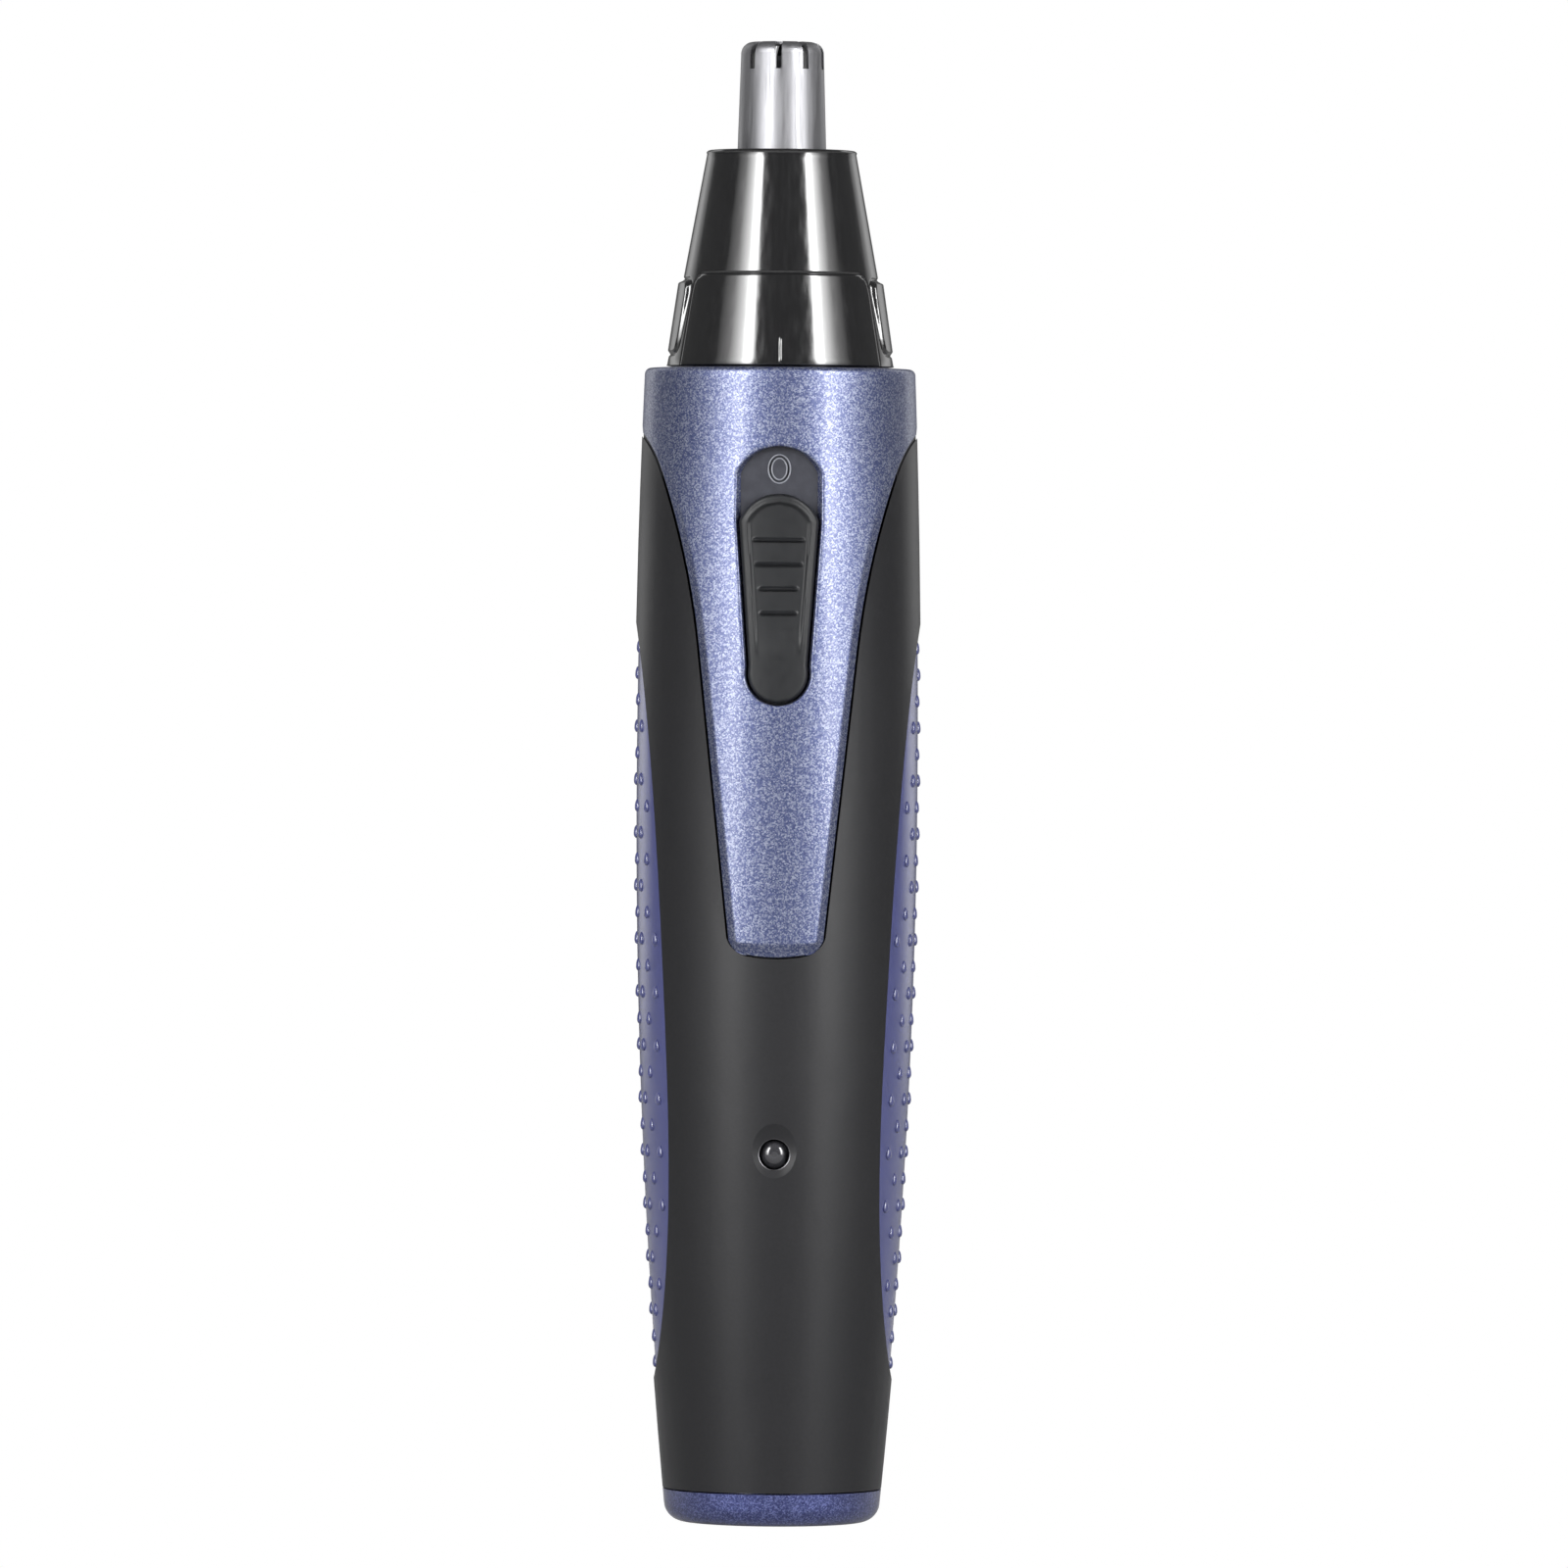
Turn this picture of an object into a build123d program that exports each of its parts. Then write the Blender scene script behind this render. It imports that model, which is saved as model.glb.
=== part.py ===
from build123d import *

import os
from math import cos, radians, sin, sqrt

# A pen-shaped, rechargeable nose hair trimmer. It stands on its foot: the origin is the middle of
# the foot, +Z runs up to the cutting tip, and the thumb switch faces -Y. All sizes are in mm.

# ---------------------------------------------------------------------------- driving sizes
# Handle: a round body whose side is two arcs that meet at the belly.
foot_radius = 10.76
belly_radius = 14.55
rim_radius = 13.7
belly_height = 75.0
rim_height = 116.9

# Clearances.
seat_gap = 0.1        # between pieces that sit on each other
fit_gap = 0.05        # between pieces that plug together
seam_gap = 0.15       # the fine dark line between outside pieces
slide_gap = 0.25      # round the thumb switch in its slot
running_gap = 0.03    # shafts in their bearings
dog_gap = 0.1         # the blade's socket round the motor's square dog

# Shells.
housing_wall = 2.4
sleeve_wall = 1.25
deck_thickness = 1.3
cap_height = 3.3
cap_floor = 2.4
cap_edge_radius = 2.0
spigot_height = 4.0
spigot_wall = 1.2
rib_thickness = 1.2
board_hold = 0.4          # how far the board's ends pass the ribs that hold it
motor_rib_rise = 3.0
motor_rib_drop = 7.0

# Outline of the sleeve's front and rear tongues, seen from the front: half widths and distances
# below the rim.
collar_drop = 6.6
shoulder_half_width = 11.95
shoulder_drop = 10.4
waist_half_width = 8.0
waist_drop = 28.4
tongue_half_width = 4.85
tongue_drop = 59.4
tongue_corner = 2.0
tongue_end_bow = 0.25      # how far its end bows down between the corners
tongue_proud = 0.5
tongue_bevel = 0.8
plateau_fade_drop = 8.9
rim_edge_radius = 0.6

# Leaf-shaped side grips.
leaf_low = 14.6
leaf_wide_height = 48.0
leaf_high = 91.0
leaf_half_width = 8.6
leaf_fullness = 0.66      # how square the leaf's curves are
leaf_bluntness = 0.6      # how blunt its two tips are
grip_sunk = 0.3
grip_thickness = 0.9
stud_radius = 0.45        # the grips' middle row of studs, which end level with the handle's side
stud_pitch = 5.37
stud_low = 16.0
stud_count = 14
stud_root = 0.2

# Thumb switch.
slot_drop = 8.0
slot_length = 26.1
slot_half_width = 4.26
slot_foot_half_width = 3.2
slot_foot_height = 3.9
slot_arch = 2.75
switch_travel = 4.4
switch_end_gap = 0.4
thumb_radius = 14.75
thumb_rib_width = 0.7
thumb_rib_proud = 0.3
thumb_rib_lengths = (3.7, 3.9, 4.8, 5.2)
thumb_rib_pitch = 2.45
thumb_rib_start = 9.3     # the lowest rib above the foot of the slot
plate_setback = 1.12      # the slot's floor below the handle's side at the top of the slot
plate_thickness = 0.7
plate_half_width = 4.6
bay_wall = 1.15
bay_half_width = 7.0
bay_margin = 1.8
plate_margin = 1.3        # the plate past the slot's ends
window_half_width = 1.95
stem_half_width = 1.7
stem_length = 6.0
stem_reach = 1.1
stem_rise = 8.2           # the stem's lower end above the foot of the slot
carrier_half_width = 4.2
carrier_length = 11.2
carrier_drop = 2.4        # the carrier's lower end below the stem
carrier_depth = 1.95
carrier_gap = 0.15
contact_thickness = 0.3
contact_width = 1.6
wiper_thickness = 0.3
wiper_height = 2.0
wiper_rise = 2.0          # the wiper's lower edge above the stem's lower end
contact_tail = 4.0        # the fixed strips below the wiper
mark_depth = 0.2
mark_stroke = 0.35
mark_width = 1.86
mark_height = 2.5
mark_inset = 2.3          # the marks' middles inside the slot's ends

# Indicator lamp.
led_height = 37.7
led_radius = 1.5
led_flange_radius = 1.8
led_flange_height = 0.9
led_tip_setback = 0.5
led_round = 1.2
dish_radius = 2.75
dish_depth = 0.5

# Neck and bayonet.
neck_radius = 8.6
neck_bore_radius = 7.0
neck_height = 5.6         # above the rim
neck_flange = 2.5
lug_depth = 1.05
lug_height = 1.4
lug_half_angle = 10.0
lug_rise = 1.8            # the lug's lower face above the rim
unlock_angle = 25.0
lug_play = 0.1
lug_angle_play = 0.7      # degrees each side
key_width = 1.6
key_depth = 0.6
key_angles = (90, 270)
lug_angles = (0, 180)

# Motor.
motor_radius = 10.0
motor_flats = 15.0
motor_length = 25.0
can_wall = 0.8
boss_radius = 3.1
boss_height = 1.5
bearing_radius = 2.5
bearing_length = 2.2
end_cap_flange = 1.15
end_cap_plug = 1.4
bearing_lip = 0.3         # what holds each bearing in at its outer end
bore_play = 0.4           # the shaft in the can's nose
shaft_radius = 1.0
rotor_radius = 6.0
rotor_length = 12.0
rotor_hub_radius = 2.0
pole_count = 3
pole_width = 2.0
pole_shoe = 1.3
pole_slot = 1.4
coil_half_width = 2.4
coil_outer_radius = 4.0
coil_end_turn = 1.4
magnet_gap = 0.5
magnet_length = 16.0
commutator_radius = 2.4
commutator_length = 2.4
commutator_rise = 1.7     # above the can's lower end
rotor_rise = 6.1
brush_rise = 0.4          # above the commutator's lower end
brush_gap = 0.1
brush_thickness = 0.3
brush_height = 1.4
terminal_width = 1.6
terminal_x = 5.6
terminal_drop = 3.2
motor_screw_offset = 4.9
screw_radius = 1.0
screw_head_radius = 1.8
screw_head_height = 1.1
screw_bite = 1.6
seal_radius = 2.95
seal_height = 0.9

# Drive to the blade.
coupler_radius = 2.5
coupler_hub = 1.8
dog_side = 3.2
dog_length = 3.8
coupler_rise = 0.5        # above the neck's floor
shaft_setback = 2.1       # the shaft's end inside the dog
socket_roof = 0.6         # the blade's socket above the dog's end
socket_play = 0.2
stem_head_rise = 7.4      # above the retainer
stem_socket_radius = 3.3
stem_radius = 2.0
stem_head_length = 5.4

# Cutting head.
head_gap = 0.2
skirt_radius = 11.6
cone_top_radius = 7.6
cone_height = 21.9
cone_edge_radius = 0.4
head_bore_play = 0.15
head_cavity_radius = 7.4
pad_low = 1.3
pad_high = 8.7
pad_half_width = 4.4
pad_proud = 0.35          # at the pad's upper end
pad_foot_proud = 0.08     # at its lower end
pad_corner = 1.0
guard_reach = 11.0
guard_radius = 4.5
guard_tip_radius = 4.16
guard_wall = 0.3
guard_edge_radius = 1.2
guard_seat_depth = 10.65
guard_flange_radius = 5.6
guard_slot_count = 9
guard_slot_width = 0.7
guard_slot_depth = 2.8
guard_slot_inner = 2.2
guard_slot_phase = 64.0
ring_height = 1.9
retainer_thickness = 1.0
retainer_skirt = 3.0
retainer_skirt_wall = 0.8
retainer_radius = 8.0
retainer_headroom = 0.3
spring_radius = 2.9
spring_wire = 0.5
spring_turns = 5
blade_thickness = 0.4
blade_half_width = 3.7
blade_tab_half_width = 2.5
blade_tab = 3.0
blade_notch_half_width = 1.9
blade_notch_floor = 3.2
blade_tip_gap = 0.2
blade_corner = 1.0

# Power.
battery_radius = 7.1
battery_length = 50.5
battery_nub_radius = 2.75
battery_nub = 1.1
battery_y = 1.0
battery_low = 13.9
tag_radius = 4.0
tag_thickness = 0.3
battery_play = 0.2
board_low = 26.0
board_length = 33.0
board_width = 10.2
board_thickness = 0.8
board_face = 9.0          # the board's outer face from the handle's axis
socket_radius = 3.5
socket_bore_radius = 1.8
socket_pin_radius = 0.65
socket_length = 9.75
socket_setback = 0.25
socket_collar_radius = 4.3
socket_collar = 1.0
lead_radius = 0.5
bay_lead_drop = 1.2       # where the motor's leads cross, below the switch's bay
terminal_lead_drop = 3.6  # and below the motor's terminals

# Housing screws, under the rear tongue.
boss_outer_radius = 2.4
boss_pilot_radius = 0.85
boss_hole_radius = 1.15
housing_screw_x = 4.6
housing_screw_drop = 13.9   # below the motor
housing_screw_bite = 7.0
housing_screw_head_seat = 9.6
housing_screw_head_radius = 2.0
housing_screw_head_height = 1.5

# ---------------------------------------------------------------------------- worked-out sizes
reach = 2 * belly_radius                      # past the handle on every side
lower_arc = ((belly_radius - foot_radius) ** 2 + belly_height**2) / (2 * (belly_radius - foot_radius))
upper_rise = rim_height - belly_height
upper_arc = ((belly_radius - rim_radius) ** 2 + upper_rise**2) / (2 * (belly_radius - rim_radius))


def side_radius(height, inset=0.0):
    """Radius of the handle's side at a height, or of a surface set in from it."""
    arc = lower_arc if height < belly_height else upper_arc
    return belly_radius - arc + sqrt((arc - inset) ** 2 - (height - belly_height) ** 2)


housing_low = cap_height + seam_gap
deck_low = rim_height - deck_thickness
flange_top = deck_low - seat_gap
neck_low = flange_top - neck_flange
housing_top = neck_low - seat_gap
neck_top = rim_height + neck_height
tongue_end = rim_height - tongue_drop

slot_top = rim_height - slot_drop
slot_low = slot_top - slot_length
thumb_top = slot_top - switch_end_gap - switch_travel
thumb_shoulder = thumb_top - slot_arch
plate_face = side_radius(slot_top) - plate_setback
plate_back = plate_face - plate_thickness
bay_face = plate_back - bay_wall
carrier_face = bay_face - carrier_gap
carrier_back = carrier_face - carrier_depth
plate_low = slot_low - plate_margin
plate_high = slot_top + plate_margin
bay_low = slot_low - bay_margin
bay_high = slot_top + bay_margin
stem_low = slot_low + stem_rise
stem_high = stem_low + stem_length
carrier_low = stem_low - carrier_drop
carrier_high = carrier_low + carrier_length
wiper_low = stem_low + wiper_rise

motor_top = neck_low - seat_gap
motor_low = motor_top - motor_length
housing_screw_z = motor_low - housing_screw_drop
boss_top = motor_top + boss_height
end_cap_low = motor_low - fit_gap - end_cap_flange
shaft_low = end_cap_low + bearing_lip + seat_gap
rotor_low = motor_low + rotor_rise
rotor_high = rotor_low + rotor_length
commutator_low = motor_low + commutator_rise
brush_low = commutator_low + brush_rise
terminal_low = end_cap_low - terminal_drop
terminal_y = commutator_radius + brush_gap + brush_thickness / 2

coupler_low = flange_top + coupler_rise
dog_low = coupler_low + coupler_hub
dog_high = dog_low + dog_length
shaft_high = dog_high - shaft_setback
retainer_low = neck_top + seat_gap
retainer_high = retainer_low + retainer_thickness

skirt_low = rim_height + head_gap
cone_top = skirt_low + cone_height
tip = cone_top + guard_reach
guard_seat = cone_top - guard_seat_depth
guard_low = guard_seat - fit_gap - guard_wall
ring_high = guard_low - fit_gap
head_bore_radius = neck_radius + head_bore_play
head_bore_top = retainer_high + retainer_headroom
lug_low = rim_height + lug_rise
lug_high = lug_low + lug_height
lug_tip_radius = neck_radius - lug_depth

stem_socket_low = dog_low + socket_play
stem_socket_top = dog_high + socket_roof
stem_head_low = retainer_high + stem_head_rise
stem_head_high = stem_head_low + stem_head_length
spring_low = retainer_high + seat_gap + spring_wire / 2
spring_high = stem_head_low - seat_gap - spring_wire / 2
blade_low = stem_head_high - blade_tab
blade_top = tip - guard_wall - blade_tip_gap
blade_shoulder = stem_head_high + seat_gap

battery_high = battery_low + battery_length
top_tag_low = battery_high + fit_gap
top_tag_high = top_tag_low + tag_thickness
low_tag_high = battery_low - fit_gap
low_tag_low = low_tag_high - tag_thickness
board_high = board_low + board_length
board_y = board_face - board_thickness / 2
led_tip = side_radius(led_height) - led_tip_setback
socket_high = socket_setback + socket_length


# ---------------------------------------------------------------------------- shared shapes
def side_section(inset, low, high, core=0.0):
    """Half-section of the handle between two heights, from a core radius out to its side."""
    levels = [low] + [level for level in (belly_height,) if low < level < high] + [high]
    with BuildSketch(Plane.XZ) as section:
        with BuildLine():
            for start, end in zip(levels, levels[1:]):
                middle = (start + end) / 2
                # The two arcs meet at the belly, so each stretch is asked for just inside its ends.
                arc = lower_arc if middle < belly_height else upper_arc
                points = []
                for level in (start, middle, end):
                    rise = level - belly_height
                    points.append((belly_radius - arc + sqrt((arc - inset) ** 2 - rise**2), level))
                ThreePointArc(*points)
            Polyline(
                (side_radius(high, inset), high),
                (core, high),
                (core, low),
                (side_radius(low, inset), low),
            )
        make_face()
    return section.sketch


def radial_plane(angle):
    """The upright plane through the axis at an angle about +Z, x running outwards and y upwards."""
    turn = radians(angle)
    return Plane(origin=(0, 0, 0), x_dir=(cos(turn), sin(turn), 0), z_dir=(sin(turn), -cos(turn), 0))


def ring_sector(inner, outer, low, high, start, sweep):
    """Part of a ring between two radii and two heights, from a start angle through a sweep."""
    with BuildPart() as sector:
        with BuildSketch(radial_plane(start)):
            with Locations(((inner + outer) / 2, (low + high) / 2)):
                Rectangle(outer - inner, high - low)
        revolve(axis=Axis.Z, revolution_arc=sweep)
    return sector.part


def tube(outer, inner, low, high):
    """A plain ring about the handle's axis."""
    with BuildPart() as ring:
        with BuildSketch(Plane.XY.offset(low)):
            Circle(outer)
            if inner > 0:
                Circle(inner, mode=Mode.SUBTRACT)
        extrude(amount=high - low)
    return ring.part


def block(x_low, x_high, y_low, y_high, z_low, z_high):
    """A rectangular block between six faces."""
    with BuildPart() as body:
        with BuildSketch(Plane.XY.offset(z_low)):
            with Locations(((x_low + x_high) / 2, (y_low + y_high) / 2)):
                Rectangle(x_high - x_low, y_high - y_low)
        extrude(amount=z_high - z_low)
    return body.part


def lead(points, bend):
    """A round lead along straight runs that are joined with tangent arcs."""
    with BuildPart() as wire:
        with BuildLine() as route:
            FilletPolyline(*points, radius=bend)
        with BuildSketch(Plane(origin=route.wire() @ 0, z_dir=route.wire() % 0)):
            Circle(lead_radius)
        sweep(path=route.wire())
    return wire.part


def sleeve_outline(growth=0.0):
    """The sleeve's collar and tongue seen from the front, grown outwards all round."""
    collar_low = rim_height - collar_drop - growth
    collar_edge = side_radius(rim_height - collar_drop) + growth
    with BuildSketch(Plane.XZ) as outline:
        with BuildLine():
            end = tongue_end - growth
            corner = tongue_corner + growth
            half_width = tongue_half_width + growth
            waist = (waist_half_width + growth, rim_height - waist_drop)
            shoulder = (shoulder_half_width + growth, rim_height - shoulder_drop)
            side = Line((half_width, end + corner), waist)
            flare = TangentArc(waist, shoulder, tangent=side % 1)
            TangentArc(shoulder, (collar_edge, collar_low), tangent=flare % 1)
            Polyline(
                (collar_edge, collar_low),
                (reach, collar_low),
                (reach, rim_height + 1),
                (0, rim_height + 1),
                (0, end),
            )
            hip = (half_width - corner, end + tongue_end_bow)
            bow = TangentArc((0, end), hip, tangent=(1, 0))
            TangentArc(hip, (half_width, end + corner), tangent=bow % 1)
        make_face()
        mirror(about=Plane.YZ)
    return outline.sketch


def plateau():
    """The tongues' raised fields, which fade out below the collar."""
    top = rim_height - plateau_fade_drop
    foot = (side_radius(tongue_end, -tongue_proud), tongue_end)
    with BuildPart() as field:
        with BuildSketch(Plane.XZ):
            with BuildLine():
                if tongue_end < belly_height:
                    turn = (belly_radius + tongue_proud, belly_height)
                    TangentArc(turn, foot, tangent=(0, -1))
                    heading = (0, 1)
                else:
                    turn = foot
                    heading = (-(tongue_end - belly_height), upper_arc + tongue_proud)
                TangentArc(turn, (side_radius(top), top), tangent=heading)
                Polyline((side_radius(top), top), (0, top), (0, tongue_end), foot)
            make_face()
        revolve(axis=Axis.Z)
        extrude(sleeve_outline(-tongue_bevel), amount=reach, both=True, mode=Mode.INTERSECT)
    return field.part


def leaf_outline(growth=0.0):
    """A side grip seen from the side."""
    wide = leaf_half_width + growth
    with BuildSketch(Plane.YZ) as outline:
        with BuildLine():
            for end in (leaf_high + growth, leaf_low - growth):
                rise = end - leaf_wide_height
                Bezier(
                    (wide, leaf_wide_height),
                    (wide, leaf_wide_height + leaf_fullness * rise),
                    (leaf_bluntness * wide, end),
                    (0, end),
                )
            Line((0, leaf_high + growth), (0, leaf_low - growth))
        make_face()
        mirror(about=Plane.YZ)
    return outline.sketch


def slot_outline(inset, top):
    """The thumb switch's outline from the front, up to a top, set in from the slot's edge."""
    wide = slot_half_width - inset
    narrow = slot_foot_half_width - inset
    foot = slot_low + inset
    shoulder = top - slot_arch
    with BuildSketch(Plane.XZ) as outline:
        with BuildLine():
            ThreePointArc((-wide, shoulder), (0, top), (wide, shoulder))
            if shoulder > thumb_shoulder + 1e-6:
                Line((wide, shoulder), (wide, thumb_shoulder))
                Line((-wide, shoulder), (-wide, thumb_shoulder))
            knee = slot_low + slot_foot_height
            Line((wide, thumb_shoulder), (narrow, knee))
            Line((-wide, thumb_shoulder), (-narrow, knee))
            ThreePointArc((narrow, knee), (0, foot), (-narrow, knee))
        make_face()
    return outline.sketch


def motor_outline(growth=0.0):
    """The motor's round section with two flats, grown outwards all round."""
    with BuildSketch() as outline:
        Circle(motor_radius + growth)
        Rectangle(2 * (motor_radius + growth), motor_flats + 2 * growth, mode=Mode.INTERSECT)
    return outline.sketch


def inner_rib(low, hollow):
    """A cross rib of the housing at a height, opened by the outline of what it holds."""
    with BuildPart() as rib:
        with BuildSketch(Plane.XY.offset(low)):
            Circle(side_radius(low, housing_wall) + housing_wall / 4)
            add(Plane.XY.offset(0) * hollow, mode=Mode.SUBTRACT)
        extrude(amount=rib_thickness)
    return rib.part


def battery_outline(radius):
    """A circle about the battery's axis."""
    with BuildSketch() as outline:
        with Locations((0, battery_y)):
            Circle(radius)
    return outline.sketch


def housing_shell():
    """Both halves of the housing in one: the wall, the sleeve's seat and the grips' pockets."""
    with BuildPart() as shell:
        revolve(side_section(0.0, housing_low, housing_top), axis=Axis.Z)
        hollow = side_section(housing_wall, housing_low - 1, housing_top + 1)
        revolve(hollow, axis=Axis.Z, mode=Mode.SUBTRACT)
        for low in battery_ribs:
            add(inner_rib(low, battery_outline(battery_radius + battery_play)))
        for low in motor_ribs:
            add(inner_rib(low, motor_outline(battery_play)))
    return shell.part


def sleeve_seat():
    """What the sleeve and the seam round it take out of the housing."""
    with BuildPart() as seat:
        revolve(side_section(-1.0, tongue_end - 1, rim_height), axis=Axis.Z)
        bed = side_section(sleeve_wall + fit_gap, tongue_end - 1, rim_height)
        revolve(bed, axis=Axis.Z, mode=Mode.SUBTRACT)
        extrude(sleeve_outline(seam_gap), amount=reach, both=True, mode=Mode.INTERSECT)
    return seat.part


def grip_seat():
    """What both side grips and the seams round them take out of the housing."""
    depth = grip_sunk + grip_thickness + fit_gap
    with BuildPart() as seat:
        revolve(side_section(-1.0, leaf_low - 1, leaf_high + 1), axis=Axis.Z)
        bed = side_section(depth, leaf_low - 1, leaf_high + 1)
        revolve(bed, axis=Axis.Z, mode=Mode.SUBTRACT)
        extrude(leaf_outline(seam_gap), amount=reach, both=True, mode=Mode.INTERSECT)
    return seat.part


def grip_studs(side):
    """The middle row of studs on one grip, -1 for the left one and 1 for the right one."""
    last = stud_low + (stud_count - 1) * stud_pitch
    with BuildPart() as studs:
        revolve(side_section(0.0, stud_low - 1, last + 1), axis=Axis.Z)
        root = side_section(grip_sunk + stud_root, stud_low - 1, last + 1)
        revolve(root, axis=Axis.Z, mode=Mode.SUBTRACT)
        with BuildSketch(Plane.YZ) as spots:
            with Locations(*[(0, stud_low + index * stud_pitch) for index in range(stud_count)]):
                Circle(stud_radius)
        extrude(spots.sketch, amount=reach * side, mode=Mode.INTERSECT)
    return studs.part


battery_ribs = (board_low + board_hold, board_high - board_hold - rib_thickness)
motor_ribs = (motor_low + motor_rib_rise, motor_top - motor_rib_drop)

# ---------------------------------------------------------------------------- handle
with BuildPart() as front_housing:
    add(housing_shell())
    # The switch's bay: a flat wall behind the slot.
    with BuildSketch(Plane.XZ.offset(bay_face)):
        with Locations((0, (bay_low + bay_high) / 2)):
            Rectangle(2 * bay_half_width, bay_high - bay_low)
    extrude(amount=bay_wall)
    # Room for the carrier's travel, cut from the motor's ribs.
    add(
        block(-bay_half_width, bay_half_width, -bay_face, 0, carrier_low - 2, carrier_high + 6),
        mode=Mode.SUBTRACT,
    )
    # Screw bosses.
    with BuildSketch(Plane.XZ.offset(seat_gap / 2)):
        with Locations((-housing_screw_x, housing_screw_z), (housing_screw_x, housing_screw_z)):
            Circle(boss_outer_radius)
    extrude(amount=side_radius(housing_screw_z, housing_wall) - 0.5)
    with BuildSketch(Plane.XZ):
        with Locations((-housing_screw_x, housing_screw_z), (housing_screw_x, housing_screw_z)):
            Circle(boss_pilot_radius)
    extrude(amount=housing_screw_bite + 1.5, mode=Mode.SUBTRACT)
    # Notches for the board and its leads.
    board_half = board_width / 2 + seat_gap
    board_slot = (-board_face - seat_gap, -board_face + board_thickness + seat_gap)
    add(
        block(-board_half, board_half, *board_slot, board_low - seat_gap, board_high + seat_gap),
        mode=Mode.SUBTRACT,
    )
    add(sleeve_seat(), mode=Mode.SUBTRACT)
    add(grip_seat(), mode=Mode.SUBTRACT)
    # The switch plate's pocket and the stem's window.
    with BuildSketch(Plane.XZ.offset(plate_back)):
        with Locations((0, (plate_low + plate_high) / 2)):
            Rectangle(2 * (plate_half_width + fit_gap), plate_high - plate_low + 2 * fit_gap)
    extrude(amount=reach, mode=Mode.SUBTRACT)
    window_low = stem_low - slide_gap
    window_high = stem_high + switch_travel + slide_gap
    with BuildSketch(Plane.XZ):
        with Locations((0, (window_low + window_high) / 2)):
            Rectangle(2 * window_half_width, window_high - window_low)
    extrude(amount=reach, mode=Mode.SUBTRACT)
    # The lamp's hole and its dish.
    with BuildSketch(Plane.XZ):
        with Locations((0, led_height)):
            Circle(led_radius + seat_gap)
    extrude(amount=reach, mode=Mode.SUBTRACT)
    ball = (dish_radius**2 + dish_depth**2) / (2 * dish_depth)
    with Locations((0, -side_radius(led_height) - ball + dish_depth, led_height)):
        Sphere(ball, mode=Mode.SUBTRACT)
    split(bisect_by=Plane.XZ, keep=Keep.TOP)
front_housing.part.label = "front_housing"

with BuildPart() as rear_housing:
    add(housing_shell())
    # Floors under and over the battery, opened for its tags' leads.
    for low in (low_tag_low - fit_gap - rib_thickness, top_tag_high + fit_gap):
        add(inner_rib(low, battery_outline(tag_radius - 1.5)))
    # Screw bosses with sunk heads.
    screw_spots = ((-housing_screw_x, housing_screw_z), (housing_screw_x, housing_screw_z))
    with BuildSketch(Plane.XZ.offset(-side_radius(housing_screw_z, housing_wall) + 0.5)):
        with Locations(*screw_spots):
            Circle(boss_outer_radius + 0.3)
    extrude(amount=side_radius(housing_screw_z, housing_wall) - 0.5 - seat_gap / 2)
    with BuildSketch(Plane.XZ):
        with Locations(*screw_spots):
            Circle(boss_hole_radius)
    extrude(amount=-reach, mode=Mode.SUBTRACT)
    with BuildSketch(Plane.XZ.offset(-housing_screw_head_seat)):
        with Locations(*screw_spots):
            Circle(housing_screw_head_radius + seat_gap)
    extrude(amount=-reach, mode=Mode.SUBTRACT)
    add(sleeve_seat(), mode=Mode.SUBTRACT)
    add(grip_seat(), mode=Mode.SUBTRACT)
    split(bisect_by=Plane.XZ, keep=Keep.BOTTOM)
rear_housing.part.label = "rear_housing"

with BuildPart() as top_sleeve:
    revolve(side_section(0.0, tongue_end - 1, rim_height), axis=Axis.Z)
    fillet(top_sleeve.edges().group_by(Axis.Z)[-1], rim_edge_radius)
    extrude(sleeve_outline(), amount=reach, both=True, mode=Mode.INTERSECT)
    add(plateau())
    hollow = side_section(sleeve_wall, tongue_end - 2, deck_low)
    revolve(hollow, axis=Axis.Z, mode=Mode.SUBTRACT)
    with BuildSketch(Plane.XY.offset(deck_low - 1)):
        Circle(neck_radius + 0.3)
    extrude(amount=deck_thickness + 2, mode=Mode.SUBTRACT)
    with BuildSketch(Plane.XZ):
        with Locations((0, (plate_low + plate_high) / 2)):
            Rectangle(2 * (plate_half_width + fit_gap), plate_high - plate_low + 2 * fit_gap)
    extrude(amount=plate_face + fit_gap, mode=Mode.SUBTRACT)
    extrude(slot_outline(0.0, slot_top), amount=reach, mode=Mode.SUBTRACT)
top_sleeve.part.label = "top_sleeve"

for name, side, keep in (("left_grip", -1, Keep.BOTTOM), ("right_grip", 1, Keep.TOP)):
    with BuildPart() as grip:
        revolve(side_section(grip_sunk, leaf_low - 1, leaf_high + 1), axis=Axis.Z)
        bed = side_section(grip_sunk + grip_thickness, leaf_low - 1, leaf_high + 1)
        revolve(bed, axis=Axis.Z, mode=Mode.SUBTRACT)
        extrude(leaf_outline(), amount=reach * side, mode=Mode.INTERSECT)
        add(grip_studs(side))
    grip.part.label = name
    if side < 0:
        left_grip = grip
    else:
        right_grip = grip

with BuildPart() as bottom_cap:
    revolve(side_section(0.0, 0.0, cap_height), axis=Axis.Z)
    fillet(bottom_cap.edges().group_by(Axis.Z)[0], cap_edge_radius)
    spigot_radius = side_radius(housing_low, housing_wall) - fit_gap
    add(tube(spigot_radius, 0.0, cap_height, cap_height + spigot_height))
    add(tube(spigot_radius - spigot_wall, 0.0, cap_floor, cap_height + 5), mode=Mode.SUBTRACT)
    add(tube(socket_radius + fit_gap, 0.0, -1.0, cap_height), mode=Mode.SUBTRACT)
bottom_cap.part.label = "bottom_cap"

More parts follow.
